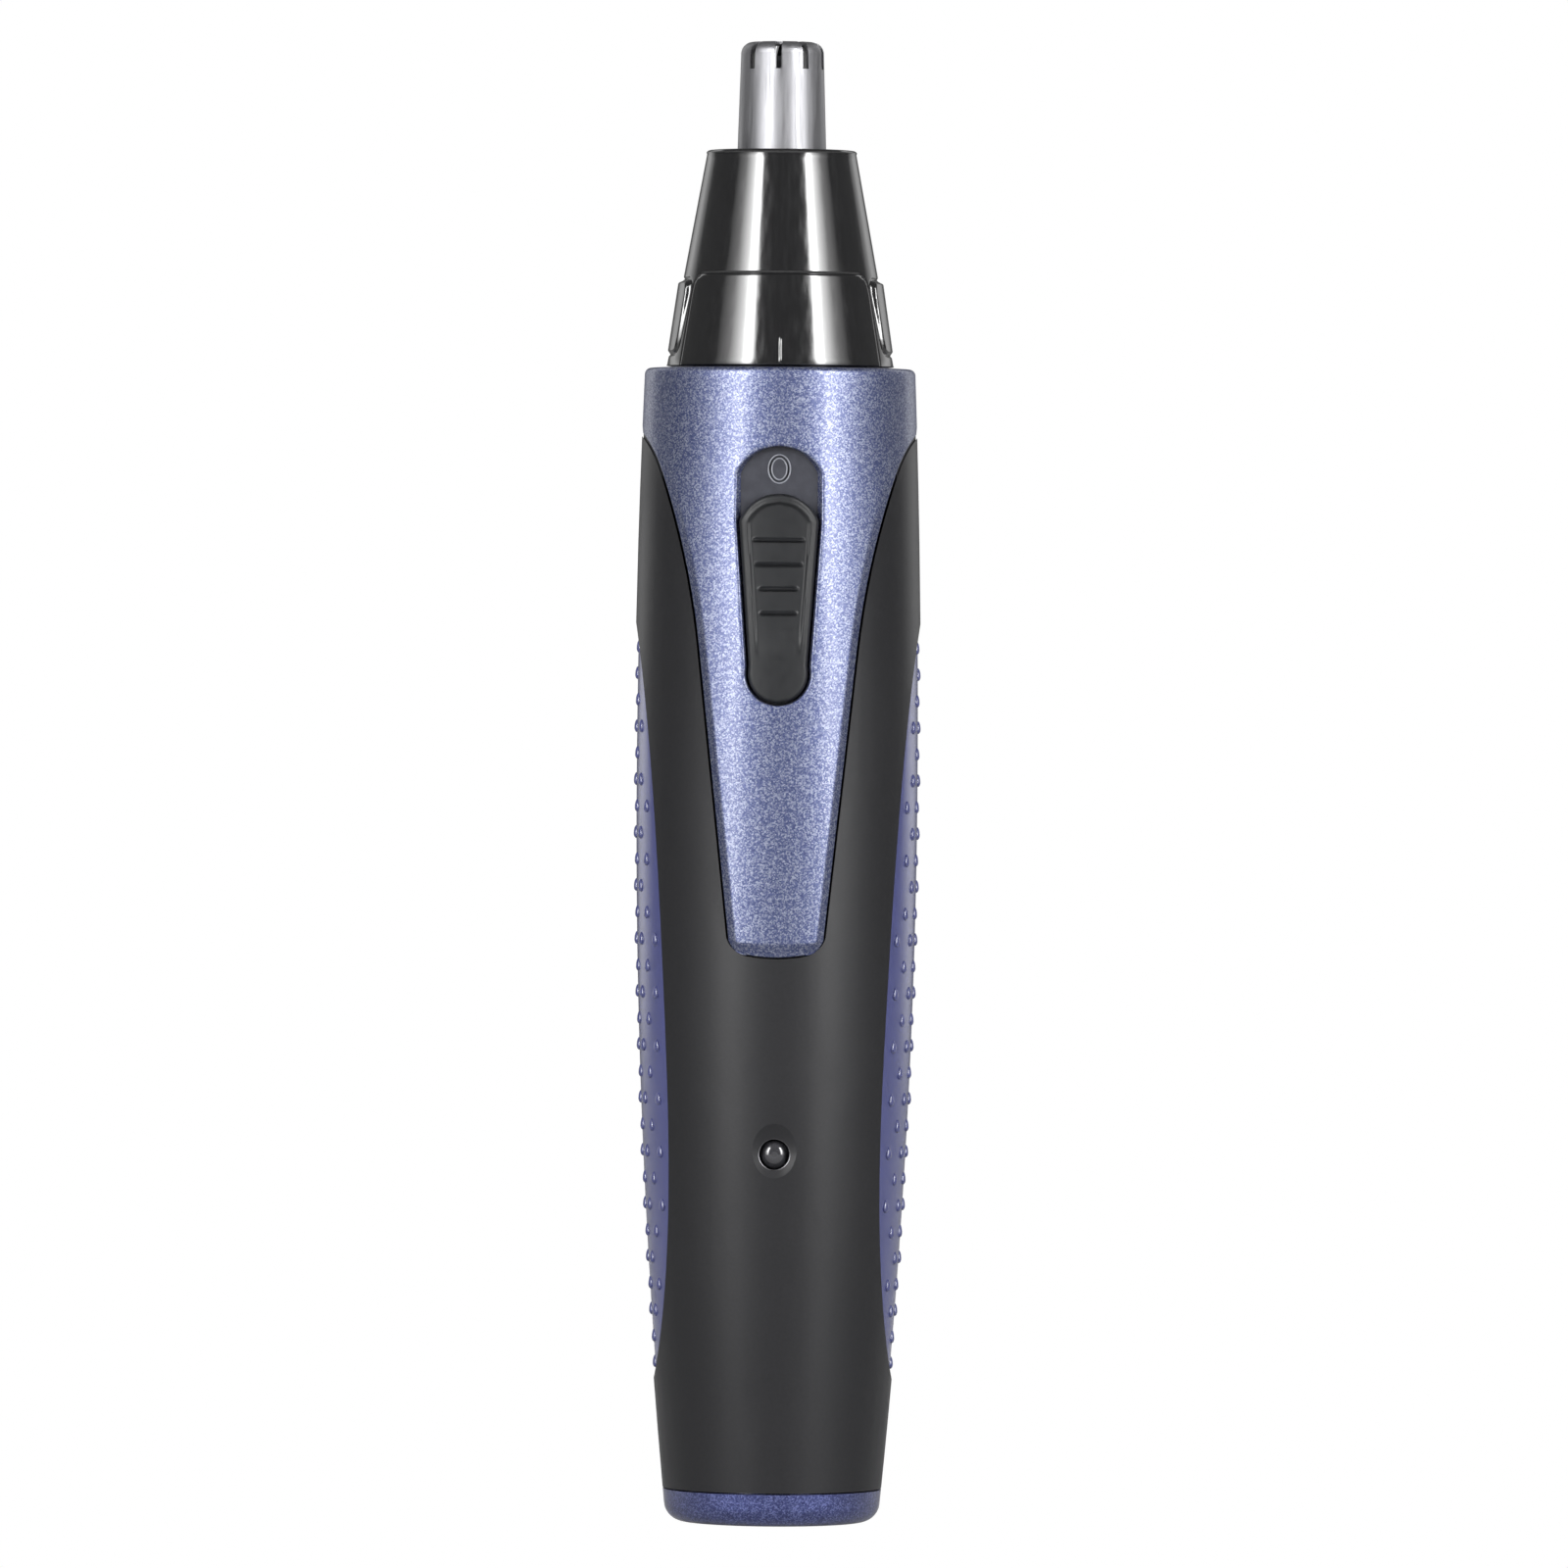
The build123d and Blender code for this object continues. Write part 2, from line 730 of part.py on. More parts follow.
with BuildPart() as switch_plate:
    with BuildSketch(Plane.XZ.offset(plate_back)):
        with Locations((0, (plate_low + plate_high) / 2)):
            RectangleRounded(2 * plate_half_width, plate_high - plate_low, 1.0)
        with Locations((0, (window_low + window_high) / 2)):
            Rectangle(2 * window_half_width, window_high - window_low, mode=Mode.SUBTRACT)
    extrude(amount=plate_thickness)
    # Off mark above the switch, and the on mark that the switch uncovers when it is pushed up.
    mark_z = slot_top - mark_inset
    with BuildSketch(Plane.XZ.offset(plate_face - mark_depth)):
        with Locations((0, mark_z)):
            Ellipse(mark_width / 2 + mark_stroke / 2, mark_height / 2 + mark_stroke / 2)
            Ellipse(
                mark_width / 2 - mark_stroke / 2,
                mark_height / 2 - mark_stroke / 2,
                mode=Mode.SUBTRACT,
            )
        with Locations((0, slot_low + mark_inset)):
            Rectangle(mark_stroke, mark_height)
    extrude(amount=1, mode=Mode.SUBTRACT)
switch_plate.part.label = "switch_plate"

with BuildPart() as neck:
    flange_radius = side_radius(flange_top, sleeve_wall) - seat_gap
    add(tube(flange_radius, 0.0, neck_low, flange_top))
    add(tube(neck_radius, neck_bore_radius, flange_top, neck_top))
    add(tube(boss_radius + seat_gap, 0.0, neck_low - 1, boss_top + seat_gap), mode=Mode.SUBTRACT)
    add(tube(seal_radius + fit_gap, 0.0, boss_top, flange_top + 1), mode=Mode.SUBTRACT)
    with BuildSketch(Plane.XY.offset(neck_low)):
        with Locations((0, -motor_screw_offset), (0, motor_screw_offset)):
            Circle(screw_radius + seat_gap)
    extrude(amount=neck_flange, mode=Mode.SUBTRACT)
    # Bayonet slots: down from the rim, then round to the locked place.
    slot_floor = lug_tip_radius - lug_play
    slot_half = lug_half_angle + lug_angle_play
    for angle in lug_angles:
        leg = (slot_floor, neck_radius + 1, lug_low - lug_play)
        start = angle - slot_half
        round_leg = ring_sector(*leg, lug_high + lug_play, start, unlock_angle + 2 * slot_half)
        add(round_leg, mode=Mode.SUBTRACT)
        down_leg = ring_sector(*leg, neck_top + 1, start + unlock_angle, 2 * slot_half)
        add(down_leg, mode=Mode.SUBTRACT)
    # Keyways that keep the blade retainer from turning.
    for angle in key_angles:
        with BuildSketch(radial_plane(angle)):
            with Locations((neck_bore_radius, neck_top)):
                Rectangle(2 * (key_depth + lug_play), 2 * (retainer_skirt + lug_play))
        extrude(amount=key_width / 2 + lug_play, both=True, mode=Mode.SUBTRACT)
neck.part.label = "neck"

with BuildPart() as motor_can:
    extrude(Plane.XY.offset(motor_low) * motor_outline(), amount=motor_length)
    inside = Plane.XY.offset(motor_low) * motor_outline(-can_wall)
    extrude(inside, amount=motor_length - can_wall, mode=Mode.SUBTRACT)
    add(tube(boss_radius, 0.0, motor_top, boss_top))
    cavity = bearing_radius + fit_gap
    add(tube(cavity, 0.0, motor_top - can_wall, boss_top - bearing_lip), mode=Mode.SUBTRACT)
    add(tube(shaft_radius + bore_play, 0.0, motor_top - can_wall, boss_top + 1), mode=Mode.SUBTRACT)
    with BuildSketch(Plane.XY.offset(motor_top - can_wall)):
        with Locations((0, -motor_screw_offset), (0, motor_screw_offset)):
            Circle(screw_radius + fit_gap)
    extrude(amount=can_wall, mode=Mode.SUBTRACT)
motor_can.part.label = "motor_can"

with BuildPart() as motor_magnets:
    magnet_mid = (rotor_low + rotor_high) / 2
    with BuildSketch(Plane.XY.offset(magnet_mid - magnet_length / 2)):
        Circle(motor_radius - can_wall - fit_gap)
        Circle(rotor_radius + magnet_gap, mode=Mode.SUBTRACT)
        Rectangle(4 * motor_radius, motor_flats - 2 * can_wall - 0.4, mode=Mode.INTERSECT)
    extrude(amount=magnet_length)
motor_magnets.part.label = "motor_magnets"

with BuildPart() as motor_end_cap:
    extrude(Plane.XY.offset(end_cap_low) * motor_outline(), amount=end_cap_flange)
    plug = Plane.XY.offset(end_cap_low) * motor_outline(-can_wall - fit_gap)
    extrude(plug, amount=end_cap_flange + end_cap_plug)
    add(tube(bearing_radius + fit_gap, 0.0, end_cap_low + bearing_lip, motor_low + 3), mode=Mode.SUBTRACT)
    for side in (-1, 1):
        wide = terminal_width / 2 + seat_gap
        thick = brush_thickness / 2 + seat_gap
        spot = (side * terminal_x, side * terminal_y)
        sides = (spot[0] - wide, spot[0] + wide, spot[1] - thick, spot[1] + thick)
        add(block(*sides, terminal_low, brush_low), mode=Mode.SUBTRACT)
motor_end_cap.part.label = "motor_end_cap"

with BuildPart() as motor_brushes:
    for side in (-1, 1):
        spot = (side * terminal_x, side * terminal_y)
        wide = terminal_width / 2
        thick = brush_thickness / 2
        tab = (spot[0] - wide, spot[0] + wide, spot[1] - thick, spot[1] + thick)
        add(block(*tab, terminal_low, brush_low + brush_height))
        arm = sorted((-side * commutator_radius, side * terminal_x))
        add(block(*arm, spot[1] - thick, spot[1] + thick, brush_low, brush_low + brush_height))
motor_brushes.part.label = "motor_brushes"

with BuildPart() as motor_bearings:
    bore = shaft_radius + running_gap
    front_high = boss_top - bearing_lip - fit_gap
    add(tube(bearing_radius, bore, front_high - bearing_length, front_high))
    rear_low = end_cap_low + bearing_lip + fit_gap
    add(tube(bearing_radius, bore, rear_low, rear_low + bearing_length))
motor_bearings.part.label = "motor_bearings"

with BuildPart() as motor_screws:
    with BuildSketch(Plane.XY.offset(motor_top - screw_bite)):
        with Locations((0, -motor_screw_offset), (0, motor_screw_offset)):
            Circle(screw_radius)
    extrude(amount=flange_top - motor_top + screw_bite)
    with BuildSketch(Plane.XY.offset(flange_top)):
        with Locations((0, -motor_screw_offset), (0, motor_screw_offset)):
            Circle(screw_head_radius)
    extrude(amount=screw_head_height)
    fillet(motor_screws.edges().group_by(Axis.Z)[-1], screw_head_height / 3)
    with BuildSketch(Plane.XY.offset(flange_top + screw_head_height)):
        with Locations((0, -motor_screw_offset), (0, motor_screw_offset)):
            Rectangle(1.8, 0.4)
            Rectangle(0.4, 1.8)
    extrude(amount=-screw_head_height / 2, mode=Mode.SUBTRACT)
motor_screws.part.label = "motor_screws"

with BuildPart() as shaft_seal:
    add(tube(seal_radius, shaft_radius + fit_gap, flange_top - seal_height, flange_top))
shaft_seal.part.label = "shaft_seal"

with BuildPart() as housing_screws:
    for side in (-1, 1):
        with BuildSketch(Plane.XZ.offset(-housing_screw_head_seat - housing_screw_head_height)):
            with Locations((side * housing_screw_x, housing_screw_z)):
                Circle(housing_screw_head_radius)
        extrude(amount=housing_screw_head_height)
        with BuildSketch(Plane.XZ.offset(-housing_screw_head_seat)):
            with Locations((side * housing_screw_x, housing_screw_z)):
                Circle(boss_pilot_radius)
        extrude(amount=housing_screw_head_seat + housing_screw_bite)
    with BuildSketch(Plane.XZ.offset(-housing_screw_head_seat - housing_screw_head_height)):
        with Locations(*screw_spots):
            Rectangle(2.0, 0.4)
            Rectangle(0.4, 2.0)
    extrude(amount=housing_screw_head_height / 2, mode=Mode.SUBTRACT)
housing_screws.part.label = "housing_screws"

# ---------------------------------------------------------------------------- power
with BuildPart() as battery_cell:
    with BuildSketch(Plane.XY.offset(battery_low)):
        with Locations((0, battery_y)):
            Circle(battery_radius)
    extrude(amount=battery_length - battery_nub)
    fillet(battery_cell.edges(), 0.5)
    with BuildSketch(Plane.XY.offset(battery_high - battery_nub)):
        with Locations((0, battery_y)):
            Circle(battery_nub_radius)
    extrude(amount=battery_nub)
battery_cell.part.label = "battery_cell"

with BuildPart() as battery_tags:
    for low in (low_tag_low, top_tag_low):
        with BuildSketch(Plane.XY.offset(low)):
            with Locations((0, battery_y)):
                Circle(tag_radius)
        extrude(amount=tag_thickness)
battery_tags.part.label = "battery_tags"

with BuildPart() as circuit_board:
    with BuildSketch(Plane.XZ.offset(board_face - board_thickness)):
        with Locations((0, (board_low + board_high) / 2)):
            Rectangle(board_width, board_length)
    extrude(amount=board_thickness)
circuit_board.part.label = "circuit_board"

with BuildPart() as board_parts:
    # The charging chip, two capacitors and a row of resistors, on the board's outer face.
    chip_plane = Plane.XZ.offset(board_face)
    with BuildSketch(chip_plane):
        with Locations((0, board_low + 19.0)):
            Rectangle(4.0, 5.0)
    extrude(amount=1.1)
    with BuildSketch(chip_plane):
        with Locations((-3.2, board_low + 11.0), (3.2, board_low + 11.0)):
            Rectangle(1.6, 2.4)
    extrude(amount=0.8)
    with BuildSketch(chip_plane):
        with GridLocations(2.4, 3.0, 3, 2):
            with Locations((0, board_low + 26.5)):
                Rectangle(1.0, 1.8)
    extrude(amount=0.5)
board_parts.part.label = "board_parts"

with BuildPart() as charge_led:
    with BuildSketch(Plane.XZ.offset(board_face + seat_gap / 2)):
        with Locations((0, led_height)):
            Circle(led_flange_radius)
    extrude(amount=led_flange_height)
    with BuildSketch(Plane.XZ.offset(board_face + led_flange_height)):
        with Locations((0, led_height)):
            Circle(led_radius)
    extrude(amount=led_tip - board_face - led_flange_height)
    fillet(charge_led.edges().group_by(Axis.Y)[0], led_round)
charge_led.part.label = "charge_led"

with BuildPart() as charge_socket:
    add(tube(socket_radius, 0.0, socket_setback, socket_high))
    collar_low = cap_floor + fit_gap
    add(tube(socket_collar_radius, 0.0, collar_low, collar_low + socket_collar))
    bore_low = socket_setback - 1
    add(tube(socket_bore_radius, socket_pin_radius, bore_low, socket_high - 1), mode=Mode.SUBTRACT)
    add(tube(socket_pin_radius, 0.0, bore_low, socket_setback + 1), mode=Mode.SUBTRACT)
charge_socket.part.label = "charge_socket"

# ---------------------------------------------------------------------------- switch
with BuildPart() as switch_button:
    extrude(slot_outline(slide_gap, thumb_top), amount=reach)
    with BuildSketch(Plane.XY.offset(slot_low - 5)):
        Circle(thumb_radius)
        with Locations((0, reach - plate_face - seat_gap)):
            Rectangle(3 * reach, 2 * reach, mode=Mode.SUBTRACT)
    extrude(amount=slot_length + 10, mode=Mode.INTERSECT)
    for index, length in enumerate(thumb_rib_lengths):
        with BuildSketch(Plane.XZ.offset(plate_face + 0.5)):
            with Locations((0, slot_low + thumb_rib_start + index * thumb_rib_pitch)):
                SlotOverall(length, thumb_rib_width)
        extrude(amount=thumb_radius + thumb_rib_proud - plate_face - 0.5)
    stem_base = plate_face + seat_gap
    with BuildSketch(Plane.XZ.offset(carrier_face - stem_reach)):
        with Locations((0, (stem_low + stem_high) / 2)):
            Rectangle(2 * stem_half_width, stem_length)
    extrude(amount=stem_base - carrier_face + stem_reach)
switch_button.part.label = "switch_button"

with BuildPart() as switch_carrier:
    half = carrier_half_width
    add(block(-half, half, -carrier_face, -carrier_back, carrier_low, carrier_high))
    pocket = stem_half_width + fit_gap
    floor = -carrier_face + stem_reach + fit_gap
    pocket_ends = (stem_low - fit_gap, stem_high + fit_gap)
    add(block(-pocket, pocket, -carrier_face - 1, floor, *pocket_ends), mode=Mode.SUBTRACT)
switch_carrier.part.label = "switch_carrier"

with BuildPart() as switch_bridge:
    # A spring strip round the back of the carrier, with a wiping foot on each side.
    wiper_high = wiper_low + wiper_height
    leg_out = carrier_half_width + seat_gap + wiper_thickness
    foot_face = -bay_face + contact_thickness + seat_gap
    back = -carrier_back + fit_gap
    for side in (-1, 1):
        leg = sorted((side * (leg_out - wiper_thickness), side * leg_out))
        foot_span = sorted((side * (leg_out - wiper_thickness), side * (leg_out + 1.0)))
        add(block(*leg, foot_face, back + wiper_thickness, wiper_low, wiper_high))
        add(block(*foot_span, foot_face, foot_face + wiper_thickness, wiper_low, wiper_high))
    add(block(-leg_out, leg_out, back, back + wiper_thickness, wiper_low, wiper_high))
switch_bridge.part.label = "switch_bridge"

with BuildPart() as switch_contacts:
    # The left strip is touched all the way; the right one only with the switch pushed up.
    strip_in = carrier_half_width + 0.2
    strip_out = strip_in + contact_width
    tail_in = strip_out
    tail_out = bay_half_width - 0.3
    faces = (-bay_face, -bay_face + contact_thickness)
    strip_high = wiper_high + switch_travel + 1.5
    make_low = wiper_high + switch_travel / 2
    add(block(-strip_out, -strip_in, *faces, wiper_low - contact_tail, strip_high))
    add(block(strip_in, tail_out, *faces, make_low, strip_high))
    add(block(tail_in, tail_out, *faces, wiper_low - contact_tail, make_low))
switch_contacts.part.label = "switch_contacts"

# ---------------------------------------------------------------------------- armature
with BuildPart() as motor_shaft:
    add(tube(shaft_radius, 0.0, shaft_low, shaft_high))
motor_shaft.part.label = "motor_shaft"

with BuildPart() as armature_core:
    with BuildSketch(Plane.XY.offset(rotor_low)):
        Circle(rotor_radius)
        Circle(rotor_radius - pole_shoe, mode=Mode.SUBTRACT)
        with PolarLocations(rotor_radius, pole_count, start_angle=180 / pole_count):
            Rectangle(4 * pole_shoe, pole_slot, mode=Mode.SUBTRACT)
        Circle(rotor_hub_radius)
        with PolarLocations((rotor_radius - pole_shoe / 2) / 2, pole_count):
            Rectangle(rotor_radius - pole_shoe / 2, pole_width)
        Circle(shaft_radius, mode=Mode.SUBTRACT)
    extrude(amount=rotor_length)
armature_core.part.label = "armature_core"

with BuildPart() as armature_windings:
    coil_inner = rotor_hub_radius + 0.4
    coil_mid = (coil_inner + coil_outer_radius) / 2
    coil_span = coil_outer_radius - coil_inner
    with BuildSketch(Plane.XY.offset(rotor_low - coil_end_turn)):
        with PolarLocations(coil_mid, pole_count):
            Rectangle(coil_span, 2 * coil_half_width)
    extrude(amount=rotor_length + 2 * coil_end_turn)
    with BuildSketch(Plane.XY.offset(rotor_low)):
        with PolarLocations(coil_mid, pole_count):
            Rectangle(coil_span, pole_width)
    extrude(amount=rotor_length, mode=Mode.SUBTRACT)
armature_windings.part.label = "armature_windings"

with BuildPart() as commutator:
    with BuildSketch(Plane.XY.offset(commutator_low)):
        Circle(commutator_radius)
        with PolarLocations(commutator_radius, pole_count, start_angle=180 / pole_count):
            Rectangle(0.8, 0.3, mode=Mode.SUBTRACT)
        Circle(shaft_radius, mode=Mode.SUBTRACT)
    extrude(amount=commutator_length)
commutator.part.label = "commutator"

with BuildPart() as drive_coupler:
    add(tube(coupler_radius, 0.0, coupler_low, dog_low))
    with BuildSketch(Plane.XY.offset(dog_low)):
        Rectangle(dog_side, dog_side)
    extrude(amount=dog_length)
    chamfer(drive_coupler.edges().group_by(Axis.Z)[-1], 0.4)
    add(tube(shaft_radius, 0.0, coupler_low - 1, shaft_high), mode=Mode.SUBTRACT)
drive_coupler.part.label = "drive_coupler"

# ---------------------------------------------------------------------------- cutter insert
with BuildPart() as blade_retainer:
    skirt_outer = neck_bore_radius - seat_gap
    add(tube(retainer_radius, 0.0, retainer_low, retainer_high))
    add(tube(skirt_outer, 0.0, retainer_low - retainer_skirt, retainer_low))
    for angle in key_angles:
        with BuildSketch(radial_plane(angle)):
            with Locations((skirt_outer + key_depth / 2 - 0.2, retainer_low - retainer_skirt / 2)):
                Rectangle(key_depth + 0.4, retainer_skirt)
        extrude(amount=key_width / 2, both=True)
    bore = skirt_outer - retainer_skirt_wall
    add(tube(bore, 0.0, retainer_low - retainer_skirt - 1, retainer_low), mode=Mode.SUBTRACT)
    add(tube(stem_radius + dog_gap, 0.0, retainer_low - 1, retainer_high + 1), mode=Mode.SUBTRACT)
blade_retainer.part.label = "blade_retainer"

with BuildPart() as blade_spring:
    with BuildLine() as coil:
        rise = spring_high - spring_low
        Helix(
            pitch=rise / spring_turns,
            height=rise,
            radius=spring_radius,
            center=(0, 0, spring_low),
        )
    with BuildSketch(Plane(origin=coil.wire() @ 0, z_dir=coil.wire() % 0)):
        Circle(spring_wire / 2)
    sweep(path=coil.wire(), is_frenet=True)
blade_spring.part.label = "blade_spring"

# ---------------------------------------------------------------------------- head
with BuildPart() as head_cone:
    with BuildSketch(Plane.XZ):
        with BuildLine():
            Polyline(
                (0, skirt_low),
                (skirt_radius, skirt_low),
                (cone_top_radius, cone_top),
                (0, cone_top),
                close=True,
            )
        make_face()
    revolve(axis=Axis.Z)
    fillet(head_cone.edges().group_by(Axis.Z)[-1], cone_edge_radius)
    # Raised finger pads on both sides.
    cone_slope = (skirt_radius - cone_top_radius) / cone_height
    for side in (-1, 1):
        with BuildSketch(Plane.YZ):
            with Locations((0, skirt_low + (pad_low + pad_high) / 2)):
                RectangleRounded(2 * pad_half_width, pad_high - pad_low, pad_corner)
        pad = extrude(amount=side * reach, mode=Mode.PRIVATE)
        with BuildSketch(Plane.XZ) as skin:
            with BuildLine():
                top_radius = skirt_radius - cone_slope * pad_high
                low_radius = skirt_radius - cone_slope * pad_low
                Polyline(
                    (0, skirt_low + pad_low),
                    (low_radius + pad_foot_proud, skirt_low + pad_low),
                    (top_radius + pad_proud, skirt_low + pad_high),
                    (0, skirt_low + pad_high),
                    close=True,
                )
            make_face()
        cushion = revolve(skin.sketch, axis=Axis.Z, mode=Mode.PRIVATE)
        add(cushion & pad)
    add(tube(head_bore_radius, 0.0, skirt_low - 1, head_bore_top), mode=Mode.SUBTRACT)
    add(tube(head_cavity_radius, 0.0, skirt_low, guard_seat), mode=Mode.SUBTRACT)
    add(tube(guard_radius + fit_gap, 0.0, guard_seat - 1, cone_top + 1), mode=Mode.SUBTRACT)
    for angle in lug_angles:
        lug = (lug_tip_radius, head_bore_radius + 0.3, lug_low, lug_high)
        add(ring_sector(*lug, angle - lug_half_angle, 2 * lug_half_angle))
head_cone.part.label = "head_cone"

with BuildPart() as guard_tube:
    with BuildSketch(Plane.XZ):
        with BuildLine():
            Polyline(
                (0, guard_low),
                (guard_flange_radius, guard_low),
                (guard_flange_radius, guard_low + guard_wall),
                (guard_radius, guard_low + guard_wall),
                (guard_radius, cone_top),
                (guard_tip_radius, tip),
                (0, tip),
                close=True,
            )
        make_face()
    revolve(axis=Axis.Z)
    fillet(guard_tube.edges().group_by(Axis.Z)[-1], guard_edge_radius)
    with BuildSketch(Plane.XZ):
        with BuildLine():
            inner_top = tip - guard_wall
            corner = guard_edge_radius - guard_wall
            Polyline(
                (0, guard_low - 1),
                (guard_radius - guard_wall, guard_low - 1),
                (guard_radius - guard_wall, cone_top),
                (guard_tip_radius - guard_wall, inner_top - corner),
                (guard_tip_radius - guard_wall - corner, inner_top),
                (0, inner_top),
                close=True,
            )
        make_face()
    revolve(axis=Axis.Z, mode=Mode.SUBTRACT)
    # Comb slots, over the rounded rim and down the side.
    for index in range(guard_slot_count):
        with BuildSketch(radial_plane(guard_slot_phase + index * 360 / guard_slot_count)):
            with Locations((guard_slot_inner + guard_radius / 2, tip - guard_slot_depth / 2 + 0.5)):
                Rectangle(guard_radius, guard_slot_depth + 1)
        extrude(amount=guard_slot_width / 2, both=True, mode=Mode.SUBTRACT)
guard_tube.part.label = "guard_tube"

with BuildPart() as tube_ring:
    outer = head_cavity_radius - fit_gap
    add(tube(outer, guard_radius + 0.2, ring_high - ring_height, ring_high))
tube_ring.part.label = "tube_ring"

# ---------------------------------------------------------------------------- blade
with BuildPart() as blade_stem:
    add(tube(stem_socket_radius, 0.0, stem_socket_low, stem_socket_top))
    add(tube(stem_radius, 0.0, stem_socket_top, stem_head_low))
    add(tube(stem_socket_radius, 0.0, stem_head_low, stem_head_high))
    with BuildSketch(Plane.XY.offset(stem_socket_low)):
        Rectangle(dog_side + 2 * dog_gap, dog_side + 2 * dog_gap)
    extrude(amount=dog_high + socket_play - stem_socket_low, mode=Mode.SUBTRACT)
    slit = (blade_tab_half_width + fit_gap, blade_thickness / 2 + fit_gap)
    tab_room = (blade_low - fit_gap, stem_head_high + 1)
    add(block(-slit[0], slit[0], -slit[1], slit[1], *tab_room), mode=Mode.SUBTRACT)
blade_stem.part.label = "blade_stem"

with BuildPart() as inner_blade:
    with BuildSketch(Plane.XZ):
        with Locations((0, (blade_shoulder + blade_top) / 2)):
            Rectangle(2 * blade_half_width, blade_top - blade_shoulder)
        with Locations((0, (blade_low + blade_shoulder + 0.2) / 2)):
            Rectangle(2 * blade_tab_half_width, blade_shoulder - blade_low + 0.2)
        notch_low = blade_shoulder + blade_notch_floor
        with Locations((0, (notch_low + blade_top + 1) / 2)):
            notch_height = blade_top + 1 - notch_low
            Rectangle(2 * blade_notch_half_width, notch_height, mode=Mode.SUBTRACT)
    extrude(amount=blade_thickness / 2, both=True)
    prong_tips = inner_blade.edges().filter_by(Axis.Y).group_by(Axis.Z)[-1]
    chamfer(prong_tips.sort_by(Axis.X)[0], blade_corner)
    prong_tips = inner_blade.edges().filter_by(Axis.Y).group_by(Axis.Z)[-1]
    chamfer(prong_tips.sort_by(Axis.X)[-1], blade_corner)
inner_blade.part.label = "inner_blade"

# ---------------------------------------------------------------------------- leads
lead_x = 1.8
board_lead_top = board_high + seat_gap
board_lead_low = board_low - seat_gap
bay_lead_x = terminal_x + 0.2
bay_lead_y = -bay_face + 1.4
bay_lead_z = wiper_low - 3.5
terminal_z = terminal_low - seat_gap
cross_z = min(bay_low - bay_lead_drop, terminal_z - terminal_lead_drop)
with BuildPart() as red_leads:
    rise = top_tag_high + 4.0
    add(
        lead(
            [
                (2.2, -1.8, top_tag_high + seat_gap),
                (2.2, -1.8, rise),
                (2 * lead_x, -board_y, rise),
                (2 * lead_x, -board_y, board_lead_top),
            ],
            1.7,
        )
    )
    add(
        lead(
            [
                (-1.2, -board_y, board_lead_top),
                (-1.2, -board_y, bay_low - 2.0),
                (-bay_lead_x, bay_lead_y, bay_lead_z - 4.0),
                (-bay_lead_x, bay_lead_y, bay_lead_z),
            ],
            5.0,
        )
    )
    add(
        lead(
            [
                (bay_lead_x, bay_lead_y, bay_lead_z),
                (bay_lead_x, bay_lead_y, cross_z),
                (terminal_x, terminal_y, cross_z),
                (terminal_x, terminal_y, terminal_z),
            ],
            1.0,
        )
    )
    turn_z = socket_high + 2.0
    add(
        lead(
            [
                (lead_x, -lead_x, socket_high + seat_gap),
                (lead_x, -lead_x, turn_z),
                (lead_x, -board_y, turn_z),
                (lead_x, -board_y, board_lead_low),
            ],
            0.85,
        )
    )
red_leads.part.label = "red_leads"

with BuildPart() as black_leads:
    add(
        lead(
            [
                (-lead_x, -2.2, low_tag_low - seat_gap),
                (-lead_x, -2.2, low_tag_low - 2.5),
                (-lead_x, -board_y, low_tag_low - 2.5),
                (-lead_x, -board_y, board_lead_low),
            ],
            1.0,
        )
    )
    add(
        lead(
            [
                (0.0, -lead_x, socket_high + seat_gap),
                (0.0, -lead_x, turn_z),
                (0.0, -board_y, turn_z),
                (0.0, -board_y, board_lead_low),
            ],
            0.85,
        )
    )
    add(
        lead(
            [
                (1.2, -board_y, board_lead_top),
                (1.2, -board_y, cross_z - 1.5),
                (-terminal_x, -terminal_y, cross_z - 1.5),
                (-terminal_x, -terminal_y, terminal_z),
            ],
            1.6,
        )
    )
black_leads.part.label = "black_leads"

# ---------------------------------------------------------------------------- files
pieces = (
    front_housing, rear_housing, top_sleeve, left_grip, right_grip, bottom_cap, switch_plate, neck,
    motor_can, motor_magnets, motor_end_cap, motor_brushes, motor_bearings, motor_screws, shaft_seal,
    housing_screws, battery_cell, battery_tags, circuit_board, board_parts, charge_led,
    charge_socket, switch_contacts, red_leads, black_leads, switch_button, switch_carrier,
    switch_bridge, motor_shaft, armature_core, armature_windings, commutator, drive_coupler,
    blade_retainer, blade_spring, head_cone, guard_tube, tube_ring, blade_stem, inner_blade,
)
os.makedirs("parts", exist_ok=True)
for piece in pieces:
    export_step(piece.part, f"parts/{piece.part.label}.step")
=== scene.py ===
"""Looks of a nose hair trimmer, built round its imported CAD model.

The trimmer stands on its foot: +Z runs up to the cutting tip and the thumb switch faces -Y.
Sizes in the classes are millimetres, and meshes are written in metres.
"""

import logging
import math
from dataclasses import dataclass, field
from enum import Enum
from typing import ClassVar, Iterable, Sequence

import bmesh
import bpy
from mathutils import Matrix, Vector


